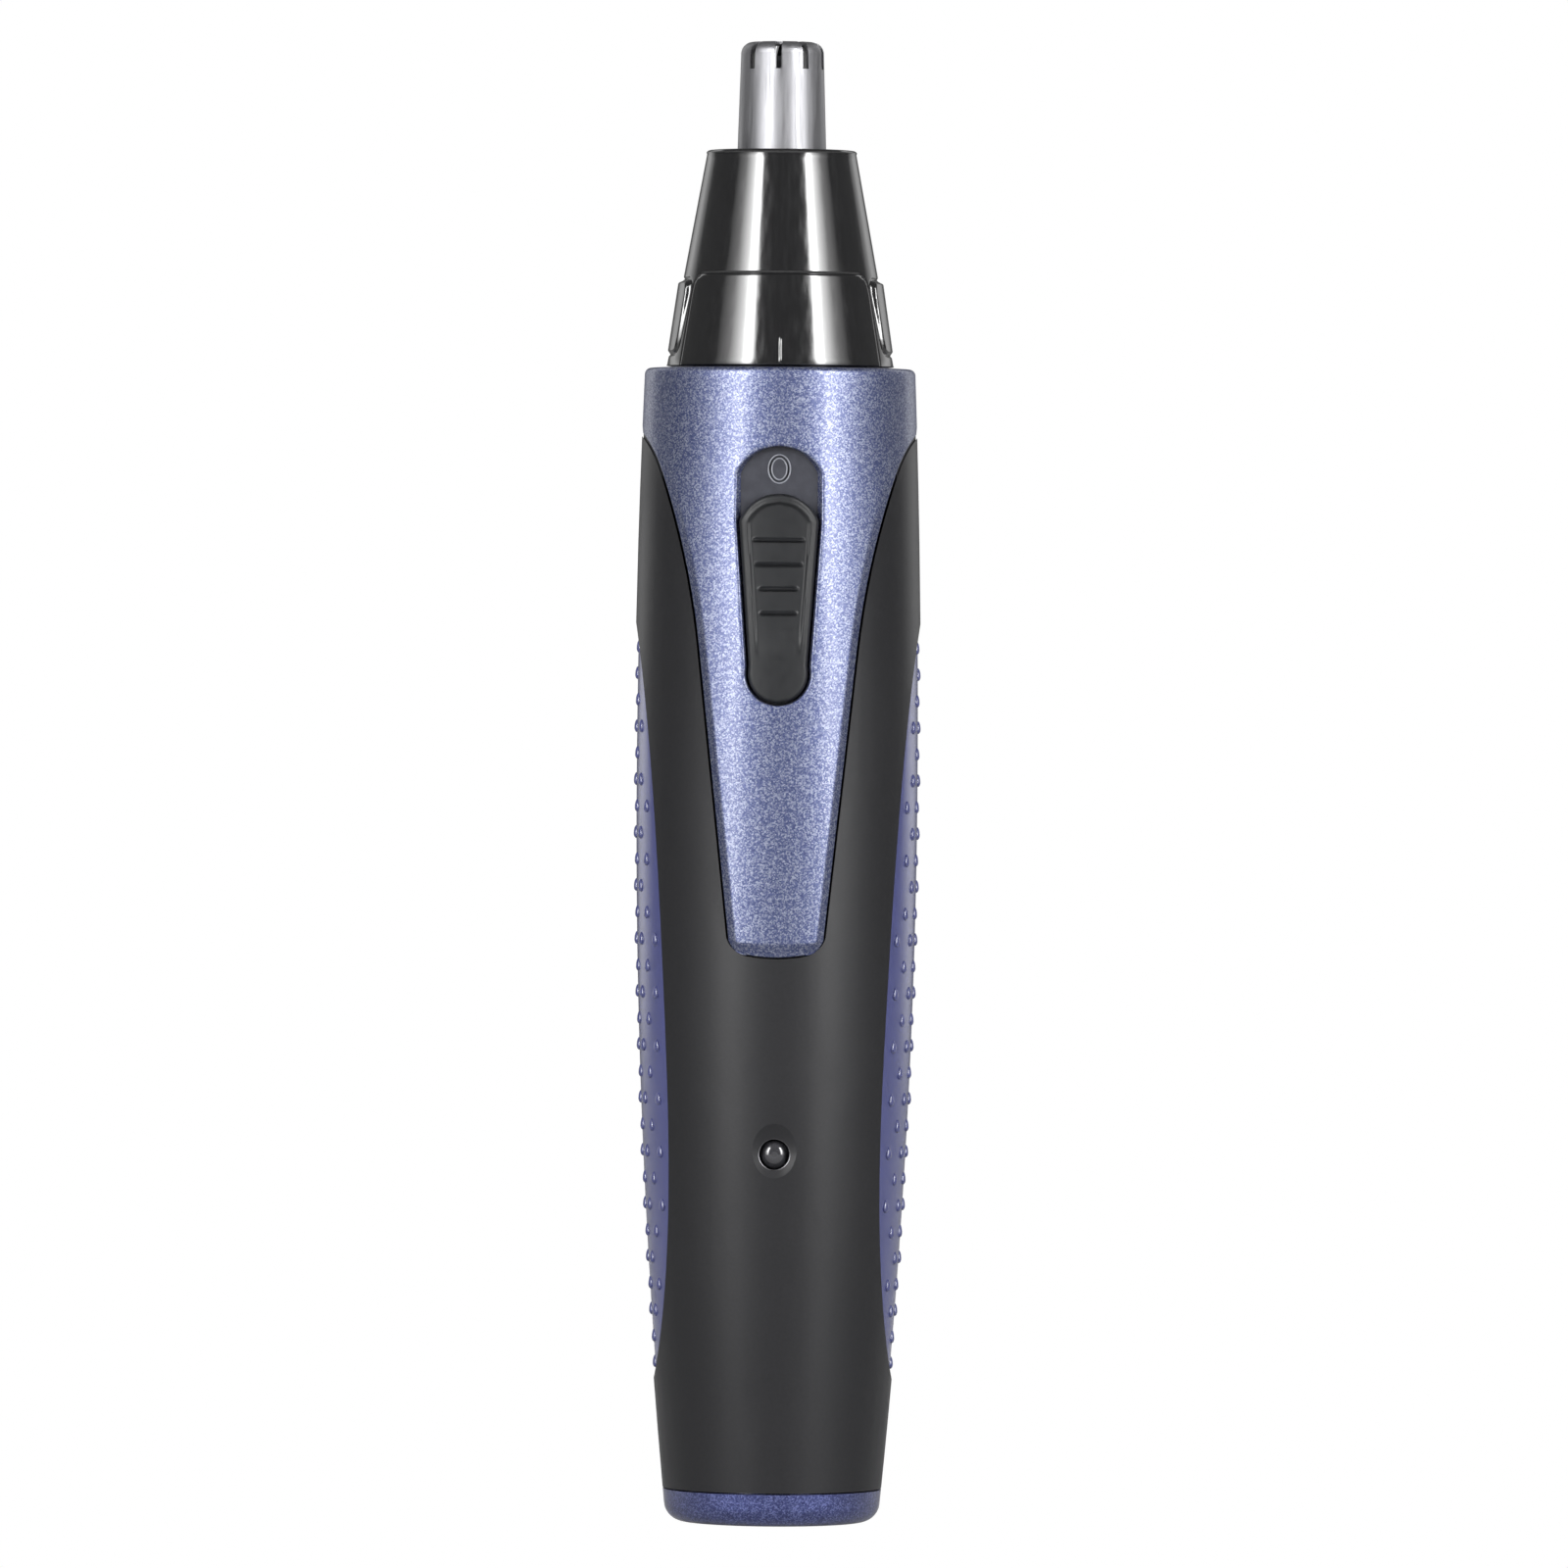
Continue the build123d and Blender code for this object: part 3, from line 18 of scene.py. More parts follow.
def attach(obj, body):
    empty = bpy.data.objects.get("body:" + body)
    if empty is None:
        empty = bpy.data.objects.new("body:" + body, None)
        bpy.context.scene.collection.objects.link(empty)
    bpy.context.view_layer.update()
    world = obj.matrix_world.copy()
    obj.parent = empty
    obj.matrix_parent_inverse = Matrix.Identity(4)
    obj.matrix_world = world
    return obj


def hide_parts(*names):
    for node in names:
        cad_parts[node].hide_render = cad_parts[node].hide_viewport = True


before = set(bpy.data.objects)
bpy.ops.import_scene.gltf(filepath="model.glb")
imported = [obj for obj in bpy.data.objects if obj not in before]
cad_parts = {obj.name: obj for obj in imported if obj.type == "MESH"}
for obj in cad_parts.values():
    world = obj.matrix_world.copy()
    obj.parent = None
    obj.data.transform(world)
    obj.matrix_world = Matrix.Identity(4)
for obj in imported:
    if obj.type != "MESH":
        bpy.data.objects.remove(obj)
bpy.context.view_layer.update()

MM = 0.001
LOG = logging.getLogger("trimmer")

Point = tuple[float, float, float]
Face = tuple[int, ...]


# ------------------------------------------------------------------------------ shared helpers
def linear(hex_colour: str) -> tuple[float, float, float, float]:
    """Turns an sRGB hex colour into linear RGBA.

    Args:
        hex_colour: Six hex digits, with or without a leading hash.

    Returns:
        The linear colour, with alpha 1.
    """
    digits = hex_colour.lstrip("#")
    channels = []
    for start in (0, 2, 4):
        value = int(digits[start : start + 2], 16) / 255
        channels.append(value / 12.92 if value <= 0.04045 else ((value + 0.055) / 1.055) ** 2.4)
    return (*channels, 1.0)


def add_node(tree: bpy.types.NodeTree, kind: str, inputs: dict | None = None, **settings) -> bpy.types.Node:
    """Adds a node with its settings and links.

    Args:
        tree: The shader or geometry tree.
        kind: The node's type.
        inputs: What each input gets, by name or number: a socket is linked, anything else is a constant.
        settings: The node's own settings, such as its operation.

    Returns:
        The new node.
    """
    made = tree.nodes.new(kind)
    for name, value in settings.items():
        setattr(made, name, value)
    for key, value in (inputs or {}).items():
        if isinstance(value, bpy.types.NodeSocket):
            tree.links.new(value, made.inputs[key])
        else:
            made.inputs[key].default_value = value
    return made


def per_metre(size: float) -> float:
    """The texture scale that gives features of a size in millimetres."""
    return 1 / (size * MM)


def smoothstep(low: float, high: float, value: float) -> float:
    """A smooth rise from 0 at low to 1 at high."""
    share = min(max((value - low) / (high - low), 0.0), 1.0)
    return share * share * (3 - 2 * share)


def new_piece(
    name: str, points: Iterable[Point], faces: Iterable[Face], sharp: float = 40.0
) -> bpy.types.Object:
    """Makes a closed, outward-facing mesh object with its place in its mesh.

    Args:
        name: The piece's name.
        points: Vertices in millimetres.
        faces: Vertex numbers of each face.
        sharp: The angle in degrees past which an edge stays sharp.

    Returns:
        The linked object, at the origin.
    """
    mesh = bpy.data.meshes.new(name)
    mesh.from_pydata([tuple(value * MM for value in point) for point in points], [], list(faces))
    shape = bmesh.new()
    shape.from_mesh(mesh)
    bmesh.ops.remove_doubles(shape, verts=shape.verts, dist=1e-6)
    bmesh.ops.dissolve_degenerate(shape, edges=shape.edges, dist=1e-7)
    bmesh.ops.recalc_face_normals(shape, faces=shape.faces)
    shape.to_mesh(mesh)
    shape.free()
    mesh.polygons.foreach_set("use_smooth", [True] * len(mesh.polygons))
    mesh.set_sharp_from_angle(angle=math.radians(sharp))
    piece = bpy.data.objects.new(name, mesh)
    bpy.context.scene.collection.objects.link(piece)
    return piece


def grid_faces(rows: int, columns: int, first: int = 0, wrap: bool = False) -> list[Face]:
    """Quads of a grid of vertices that is written row by row.

    Args:
        rows: How many rows of vertices.
        columns: How many vertices in a row.
        first: The number of the grid's first vertex.
        wrap: Whether each row closes on itself.

    Returns:
        The grid's faces.
    """
    faces = []
    for row in range(rows - 1):
        for column in range(columns if wrap else columns - 1):
            beside = (column + 1) % columns
            low, high = first + row * columns, first + (row + 1) * columns
            faces.append((low + column, low + beside, high + beside, high + column))
    return faces


def steps(low: float, high: float, pitch: float) -> list[float]:
    """Evenly spaced values from low to high, both included, about a pitch apart."""
    count = max(1, round((high - low) / pitch))
    return [low + (high - low) * index / count for index in range(count + 1)]


def merged(*groups: Iterable[float], gap: float = 1e-3) -> list[float]:
    """All values of several groups in order, with near repeats left out.

    Args:
        groups: The groups of values.
        gap: How close two values may be.

    Returns:
        The values from low to high.
    """
    found: list[float] = []
    for value in sorted(value for group in groups for value in group):
        if not found or value - found[-1] > gap:
            found.append(value)
    return found


def edge_distance(point: tuple[float, float], outline: Sequence[tuple[float, float]]) -> float:
    """The distance from a point to a closed outline.

    Args:
        point: The point.
        outline: The outline's corners in order.

    Returns:
        The shortest distance, without a sign.
    """
    best = math.inf
    px, py = point
    ax, ay = outline[-1]
    for bx, by in outline:
        dx, dy = bx - ax, by - ay
        length = dx * dx + dy * dy
        share = min(max(((px - ax) * dx + (py - ay) * dy) / length, 0.0), 1.0) if length else 0.0
        best = min(best, (px - ax - share * dx) ** 2 + (py - ay - share * dy) ** 2)
        ax, ay = bx, by
    return math.sqrt(best)


def rounded_box(across: float, up: float, half_width: float, half_height: float, corner: float) -> float:
    """Signed distance to a rounded rectangle about the origin, negative inside.

    Args:
        across: The point's distance to the right of the middle.
        up: The point's distance above the middle.
        half_width: Half the rectangle's width.
        half_height: Half the rectangle's height.
        corner: The corners' radius.

    Returns:
        The distance to the edge.
    """
    far_x, far_y = abs(across) - half_width + corner, abs(up) - half_height + corner
    outside = math.hypot(max(far_x, 0.0), max(far_y, 0.0))
    return outside + min(max(far_x, far_y), 0.0) - corner


# ------------------------------------------------------------------------------------ finishes
class Grain(Enum):
    """Which way the marks on a metal run."""

    DRAWN = (1.0, 1.0, 0.04)
    TURNED = (0.06, 0.06, 1.0)
    ROLLED = (1.0, 1.0, 1.0)


@dataclass(frozen=True)
class Finish:
    """What every finish has: the real material's name, its record slot, its colour and its gloss."""

    name: str
    slot: str
    colour: str
    roughness: float

    def start(self) -> tuple[bpy.types.Material, bpy.types.NodeTree, bpy.types.NodeSocket]:
        """Makes the material.

        Returns:
            The material, its tree and the place on the piece in metres.
        """
        material = bpy.data.materials.new(self.name)
        material.use_nodes = True
        material.diffuse_color = linear(self.colour)
        tree = material.node_tree
        tree.nodes.clear()
        return material, tree, add_node(tree, "ShaderNodeTexCoord").outputs["Object"]

    def close(self, material: bpy.types.Material, inputs: dict) -> bpy.types.Material:
        """Ends the material with its shader.

        Args:
            material: The material.
            inputs: What the shader gets besides the finish's own colour and roughness.

        Returns:
            The same material.
        """
        given = {"Base Color": linear(self.colour), "Roughness": self.roughness, **inputs}
        shader = add_node(material.node_tree, "ShaderNodeBsdfPrincipled", given)
        add_node(material.node_tree, "ShaderNodeOutputMaterial", {"Surface": shader.outputs["BSDF"]})
        return material

    def shades(self, low: float, high: float) -> dict[int, tuple[float, float, float, float]]:
        """The colour at two strengths, as the two colours of a Mix node."""
        red, green, blue, _ = linear(self.colour)
        return {
            socket: (red * share, green * share, blue * share, 1.0) for socket, share in ((6, low), (7, high))
        }


@dataclass(frozen=True)
class MouldedPlastic(Finish):
    """A moulded plastic or rubber: even colour with faint mottling and the mould's fine texture."""

    mottle: float = 3.0
    contrast: float = 0.12
    texture: float = 0.25
    depth: float = 0.004
    coat: float = 0.0
    coat_roughness: float = 0.2
    specular: float = 0.4
    gloss_spread: float = 0.12

    def build(self) -> bpy.types.Material:
        """Builds the material.

        Returns:
            The material.
        """
        material, tree, place = self.start()
        patch = add_node(
            tree, "ShaderNodeTexNoise", {"Vector": place, "Scale": per_metre(self.mottle), "Detail": 3.0}
        )
        tone = add_node(
            tree,
            "ShaderNodeMix",
            {0: patch.outputs["Fac"], **self.shades(1 - self.contrast, 1 + self.contrast)},
            data_type="RGBA",
        )
        gloss = add_node(
            tree,
            "ShaderNodeMapRange",
            {
                "Value": patch.outputs["Fac"],
                "From Min": 0.3,
                "From Max": 0.7,
                "To Min": self.roughness * (1 - self.gloss_spread),
                "To Max": min(1.0, self.roughness * (1 + self.gloss_spread)),
            },
        )
        fine = add_node(
            tree, "ShaderNodeTexNoise", {"Vector": place, "Scale": per_metre(self.texture), "Detail": 2.0}
        )
        bump = add_node(
            tree,
            "ShaderNodeBump",
            {"Height": fine.outputs["Fac"], "Distance": self.depth * MM, "Strength": 1.0},
        )
        return self.close(
            material,
            {
                "Base Color": tone.outputs[2],
                "Roughness": gloss.outputs["Result"],
                "Normal": bump.outputs["Normal"],
                "Coat Weight": self.coat,
                "Coat Roughness": self.coat_roughness,
                "Specular IOR Level": self.specular,
            },
        )


@dataclass(frozen=True)
class SoftTouch(Finish):
    """Soft-touch lacquer over ABS: a broad soft sheen, a fine sprayed grain and a little lint."""

    grain: float = 0.3
    grain_depth: float = 0.006
    grain_contrast: float = 0.28
    cloud: float = 14.0
    lint: float = 4.5
    lint_size: float = 0.09
    lint_rarity: float = 0.8
    specular: float = 0.3
    gloss_spread: float = 0.03

    def build(self) -> bpy.types.Material:
        """Builds the material.

        Returns:
            The material.
        """
        material, tree, place = self.start()
        spray = add_node(
            tree, "ShaderNodeTexNoise", {"Vector": place, "Scale": per_metre(self.grain), "Detail": 4.0}
        )
        cloud = add_node(tree, "ShaderNodeTexNoise", {"Vector": place, "Scale": per_metre(self.cloud)})
        speckle = add_node(
            tree,
            "ShaderNodeMix",
            {0: spray.outputs["Fac"], **self.shades(1 - self.grain_contrast, 1 + self.grain_contrast)},
            data_type="RGBA",
        )
        # Lint: one speck in a few of the cells.
        cells = add_node(tree, "ShaderNodeTexVoronoi", {"Vector": place, "Scale": per_metre(self.lint)})
        near = add_node(
            tree,
            "ShaderNodeMapRange",
            {"Value": cells.outputs["Distance"], "From Min": self.lint_size / self.lint, "From Max": 0.0},
        )
        chosen = add_node(tree, "ShaderNodeSeparateColor", {0: cells.outputs["Color"]})
        rare = add_node(
            tree, "ShaderNodeMath", {0: chosen.outputs[0], 1: self.lint_rarity}, operation="GREATER_THAN"
        )
        speck = add_node(
            tree, "ShaderNodeMath", {0: near.outputs["Result"], 1: rare.outputs[0]}, operation="MULTIPLY"
        )
        dusty = add_node(
            tree,
            "ShaderNodeMix",
            {0: speck.outputs[0], 6: speckle.outputs[2], 7: linear("#6A6A6A")},
            data_type="RGBA",
        )
        gloss = add_node(
            tree,
            "ShaderNodeMapRange",
            {
                "Value": cloud.outputs["Fac"],
                "From Min": 0.3,
                "From Max": 0.7,
                "To Min": self.roughness - self.gloss_spread,
                "To Max": self.roughness + self.gloss_spread,
            },
        )
        bump = add_node(
            tree,
            "ShaderNodeBump",
            {"Height": spray.outputs["Fac"], "Distance": self.grain_depth * MM, "Strength": 1.0},
        )
        return self.close(
            material,
            {
                "Base Color": dusty.outputs[2],
                "Roughness": gloss.outputs["Result"],
                "Normal": bump.outputs["Normal"],
                "Specular IOR Level": self.specular,
            },
        )


@dataclass(frozen=True)
class FlakePaint(Finish):
    """Metallic paint under clear lacquer: aluminium flakes under a smooth gloss, with painted glints and
    painted shade set on the flakes one by one.
    """

    # The dark colour is painted shade and the light colour a painted glint; the flakes take them at random,
    # whatever the lamps.
    dark: str = "#2E3572"
    light: str = "#A9B4EE"
    flake: float = 0.13
    tilt: float = 0.007
    dull_share: float = 0.4
    painted_glint: float = 0.95
    metallic: float = 0.82
    coat: float = 0.45
    coat_roughness: float = 0.22

    def build(self) -> bpy.types.Material:
        """Builds the material.

        Returns:
            The material.
        """
        material, tree, place = self.start()
        # Real flakes are about 0.04 mm across; these are as coarse as they need to be to show.
        flakes = add_node(tree, "ShaderNodeTexVoronoi", {"Vector": place, "Scale": per_metre(self.flake)})
        parts = add_node(tree, "ShaderNodeSeparateColor", {0: flakes.outputs["Color"]})
        # Painted glints: flakes past the dull share are lightened towards the light colour.
        painted_glint = add_node(
            tree,
            "ShaderNodeMapRange",
            {"Value": parts.outputs[0], "From Min": self.dull_share, "From Max": 1.0, "To Max": self.painted_glint},
        )
        # Painted shade: the flakes are darkened towards the dark colour at random.
        low = add_node(
            tree,
            "ShaderNodeMix",
            {0: parts.outputs[1], 6: linear(self.colour), 7: linear(self.dark)},
            data_type="RGBA",
        )
        colour = add_node(
            tree,
            "ShaderNodeMix",
            {0: painted_glint.outputs["Result"], 6: low.outputs[2], 7: linear(self.light)},
            data_type="RGBA",
        )
        bump = add_node(
            tree, "ShaderNodeBump", {"Height": parts.outputs[2], "Distance": self.tilt * MM, "Strength": 1.0}
        )
        return self.close(
            material,
            {
                "Base Color": colour.outputs[2],
                "Normal": bump.outputs["Normal"],
                "Metallic": self.metallic,
                "Coat Weight": self.coat,
                "Coat Roughness": self.coat_roughness,
            },
        )


@dataclass(frozen=True)
class PolishedPlastic(Finish):
    """Plastic from a polished mould: mirror gloss, broken a little by fine rub marks."""

    rub: float = 0.5
    rub_depth: float = 0.0004
    rub_stretch: float = 0.08
    rub_gloss: float = 0.1
    ior: float = 1.59
    specular: float = 0.7

    def build(self) -> bpy.types.Material:
        """Builds the material.

        Returns:
            The material.
        """
        material, tree, place = self.start()
        stretch = add_node(
            tree,
            "ShaderNodeMapping",
            {"Vector": place, "Scale": (1.0, 1.0, self.rub_stretch)},
            vector_type="POINT",
        )
        marks = add_node(
            tree,
            "ShaderNodeTexNoise",
            {"Vector": stretch.outputs["Vector"], "Scale": per_metre(self.rub), "Detail": 5.0},
        )
        gloss = add_node(
            tree,
            "ShaderNodeMapRange",
            {
                "Value": marks.outputs["Fac"],
                "From Min": 0.4,
                "From Max": 0.75,
                "To Min": self.roughness,
                "To Max": self.roughness + self.rub_gloss,
            },
        )
        haze = add_node(
            tree, "ShaderNodeMix", {0: marks.outputs["Fac"], **self.shades(0.8, 1.5)}, data_type="RGBA"
        )
        bump = add_node(
            tree,
            "ShaderNodeBump",
            {"Height": marks.outputs["Fac"], "Distance": self.rub_depth * MM, "Strength": 1.0},
        )
        return self.close(
            material,
            {
                "Base Color": haze.outputs[2],
                "Roughness": gloss.outputs["Result"],
                "Normal": bump.outputs["Normal"],
                "IOR": self.ior,
                "Specular IOR Level": self.specular,
            },
        )


@dataclass(frozen=True)
class BareMetal(Finish):
    """A bare or plated metal with the marks of how it was made."""

    grain: Grain = Grain.ROLLED
    mark: float = 0.16
    mark_depth: float = 0.002
    cloud: float = 2.5
    stain: str = "#8A8A8C"
    stain_share: float = 0.25
    gloss_spread: float = 0.25

    def build(self) -> bpy.types.Material:
        """Builds the material.

        Returns:
            The material.
        """
        material, tree, place = self.start()
        lie = add_node(
            tree, "ShaderNodeMapping", {"Vector": place, "Scale": self.grain.value}, vector_type="POINT"
        )
        marks = add_node(
            tree,
            "ShaderNodeTexNoise",
            {"Vector": lie.outputs["Vector"], "Scale": per_metre(self.mark), "Detail": 4.0, "Roughness": 0.6},
        )
        cloud = add_node(
            tree, "ShaderNodeTexNoise", {"Vector": place, "Scale": per_metre(self.cloud), "Detail": 3.0}
        )
        share = add_node(
            tree, "ShaderNodeMath", {0: marks.outputs["Fac"], 1: cloud.outputs["Fac"]}, operation="MULTIPLY"
        )
        amount = add_node(
            tree,
            "ShaderNodeMapRange",
            {"Value": share.outputs[0], "From Min": 0.15, "From Max": 0.4, "To Max": self.stain_share},
        )
        tone = add_node(
            tree,
            "ShaderNodeMix",
            {0: amount.outputs["Result"], 6: linear(self.colour), 7: linear(self.stain)},
            data_type="RGBA",
        )
        gloss = add_node(
            tree,
            "ShaderNodeMapRange",
            {
                "Value": marks.outputs["Fac"],
                "From Min": 0.3,
                "From Max": 0.7,
                "To Min": self.roughness * (1 - self.gloss_spread),
                "To Max": self.roughness * (1 + self.gloss_spread),
            },
        )
        bump = add_node(
            tree,
            "ShaderNodeBump",
            {"Height": marks.outputs["Fac"], "Distance": self.mark_depth * MM, "Strength": 1.0},
        )
        return self.close(
            material,
            {
                "Base Color": tone.outputs[2],
                "Roughness": gloss.outputs["Result"],
                "Normal": bump.outputs["Normal"],
                "Metallic": 1.0,
            },
        )


@dataclass(frozen=True)
class SmokedLens(Finish):
    """Smoked clear epoxy: dark grey right through, with a wet gloss."""

    cloud: float = 0.7

    def build(self) -> bpy.types.Material:
        """Builds the material.

        Returns:
            The material.
        """
        material, tree, place = self.start()
        depth = add_node(
            tree, "ShaderNodeTexNoise", {"Vector": place, "Scale": per_metre(self.cloud), "Detail": 2.0}
        )
        tint = add_node(
            tree,
            "ShaderNodeMix",
            {0: depth.outputs["Fac"], 6: linear("#222224"), 7: linear("#3A3A3E")},
            data_type="RGBA",
        )
        return self.close(
            material,
            {
                "Base Color": tint.outputs[2],
                "Transmission Weight": 0.15,
                "IOR": 1.54,
                "Coat Weight": 0.4,
                "Coat Roughness": 0.12,
            },
        )


@dataclass(frozen=True)
class LayeredBoard(Finish):
    """Green solder mask over copper tracks on glass fibre."""

    track: float = 1.1
    track_height: float = 0.03

    def build(self) -> bpy.types.Material:
        """Builds the material.

        Returns:
            The material.
        """
        material, tree, place = self.start()
        tracks = add_node(
            tree,
            "ShaderNodeTexBrick",
            {
                "Vector": place,
                "Scale": per_metre(self.track * 4),
                "Color1": linear("#1E6B3C"),
                "Color2": linear("#17552F"),
                "Mortar": linear("#2E8A4E"),
                "Mortar Size": 0.05,
            },
        )
        bump = add_node(
            tree,
            "ShaderNodeBump",
            {"Height": tracks.outputs["Fac"], "Distance": self.track_height * MM, "Strength": 1.0},
        )
        return self.close(
            material, {"Base Color": tracks.outputs["Color"], "Normal": bump.outputs["Normal"]}
        )


class Palette:
    """Every finish on the trimmer, built once."""

    def __init__(self) -> None:
        """Builds the materials."""
        finishes = (
            # Soft-touch lacquer spreads each lamp into a wide, low sheen.
            SoftTouch("soft_touch_lacquer", "soft_touch_black", "#1A1A1C", 0.4),
            # Blue-violet flake paint goes pale where a lamp is mirrored and deep blue beside it; its dark and
            # light flake colours are painted shade and painted glints.
            FlakePaint("blue_flake_paint", "metallic_blue", "#4C5376", 0.46, dark="#353D62", light="#898E9E"),
            # The end cap's coat of the same paint is a little deeper, with the same painted shade and painted
            # glints in its flakes.
            FlakePaint(
                "blue_cap_paint",
                "metallic_blue",
                "#363D70",
                0.4,
                dark="#262D58",
                light="#646CA0",
                coat=1.0,
                coat_roughness=0.15,
            ),
            # Filled elastomer is satin, and picks up a faint pearl from its pigment.
            MouldedPlastic(
                "violet_elastomer", "grip_violet", "#363A68", 0.42, mottle=1.2, texture=0.2, coat=1.0
            ),
            # Polystyrene from a polished mould is as black and glossy as piano lacquer.
            PolishedPlastic("polished_polystyrene", "gloss_black", "#0D0D0E", 0.11),
            # Spark-eroded ABS has a dry, faintly blue satin.
            MouldedPlastic(
                "spark_finish_abs",
                "switch_black",
                "#17181A",
                0.46,
                mottle=0.9,
                contrast=0.2,
                depth=0.006,
                specular=0.3,
            ),
            # The slot's floor is the same ABS under a film of dust.
            MouldedPlastic(
                "dusty_abs", "switch_black", "#292A31", 0.45, mottle=0.7, contrast=0.3, depth=0.01
            ),
            # The mark's raised edges are drawn pale, a painted highlight where they catch the light.
            MouldedPlastic("edge_highlight_abs", "switch_black", "#6E7077", 0.35, mottle=0.5, contrast=0.3),
            # Acetal is waxy and slightly warm.
            MouldedPlastic("white_acetal", "white_plastic", "#DAD9D2", 0.35, contrast=0.04),
            # Glass-filled nylon is grey-black with a dry bloom.
            MouldedPlastic("glass_filled_nylon", "dark_plastic", "#262628", 0.5, texture=0.35, depth=0.01),
            # Drawing leaves fine lines along the tube, so its highlights are long and soft.
            BareMetal(
                "drawn_stainless_steel",
                "steel",
                "#87878A",
                0.46,
                grain=Grain.DRAWN,
                mark=0.3,
                mark_depth=0.001,
            ),
            # Grinding leaves rings round the shaft and a bright, tighter gloss.
            BareMetal("ground_stainless_steel", "steel", "#CFCFCD", 0.2, grain=Grain.TURNED),
            # Black nickel is a dim grey mirror, so a thin ring of it reads as a line: the pale ring round the
            # lamp's hole is a painted highlight of the hole's edge.
            BareMetal("black_nickel", "plated_steel", "#77777A", 0.3, grain=Grain.TURNED),
            # Zinc is a cool, even grey with yellowish clouds.
            BareMetal("zinc_plated_steel", "plated_steel", "#C6C8CB", 0.3, mark=0.4, stain="#9A9C93"),
            # Oil-filled bronze is dull and pitted.
            BareMetal("sintered_bronze", "bronze", "#9A7442", 0.48, mark=0.12, mark_depth=0.01),
            # Enamel over copper is a glossy red-brown.
            BareMetal("enamelled_copper_wire", "copper", "#B4623A", 0.28, grain=Grain.TURNED, mark=0.3),
            # Sintered ferrite is charcoal and dull.
            MouldedPlastic("sintered_ferrite", "magnet", "#3A3A3D", 0.6, texture=0.15, depth=0.015),
            # Shrink film is glossy, with creases where it pulls in round the ends.
            MouldedPlastic("shrink_film", "battery_wrap", "#2F7A55", 0.24, mottle=6.0, depth=0.01, coat=0.4),
            # Solder mask is a glossy green skin that shows the tracks under it.
            LayeredBoard("solder_masked_board", "board_green", "#1E6B3C", 0.3),
            # Smoked epoxy looks nearly black until its lamp is lit.
            SmokedLens("smoked_epoxy", "led_lens", "#17171A", 0.16),
            # Rubber is matt, and silicone sleeving is satin.
            MouldedPlastic("nitrile_rubber", "rubber_black", "#1B1B1B", 0.62),
            MouldedPlastic("red_silicone_sleeve", "lead_red", "#A31B17", 0.4),
            MouldedPlastic("black_silicone_sleeve", "lead_black", "#1C1C1D", 0.4),
        )
        self.finishes = {finish.name: finish for finish in finishes}
        self.materials = {finish.name: finish.build() for finish in finishes}

    def cover(self, piece: bpy.types.Object, name: str) -> None:
        """Gives a new piece a finish.

        Args:
            piece: The new piece.
            name: The finish's name.
        """
        piece.data.materials.clear()
        piece.data.materials.append(self.materials[name])

    def dress(self, node: str, name: str) -> None:
        """Gives a CAD node a finish on its object's own material slots.

        Args:
            node: The CAD node's name.
            name: The finish's name.
        """
        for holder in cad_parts[node].material_slots:
            holder.link = "OBJECT"
            holder.material = self.materials[name]
        LOG.info("dressed %s in %s", node, name)


# --------------------------------------------------------------------------------- shared form
@dataclass(frozen=True)
class HandleForm:
    """The handle's round side: two arcs that meet at the belly."""

    foot_radius: float = 10.76
    belly_radius: float = 14.55
    rim_radius: float = 13.7
    belly_height: float = 75.0
    rim_height: float = 116.9

    def side_radius(self, height: float, inset: float = 0.0) -> float:
        """The handle's radius at a height, less an inset.

        Args:
            height: The height above the foot.
            inset: How far inside the side.

        Returns:
            The radius in millimetres.
        """
        if height < self.belly_height:
            shrink, rise = self.belly_radius - self.foot_radius, self.belly_height
        else:
            shrink, rise = self.belly_radius - self.rim_radius, self.rim_height - self.belly_height
        arc = (shrink**2 + rise**2) / (2 * shrink)
        return self.belly_radius - arc + math.sqrt((arc - inset) ** 2 - (height - self.belly_height) ** 2)


FORM = HandleForm()


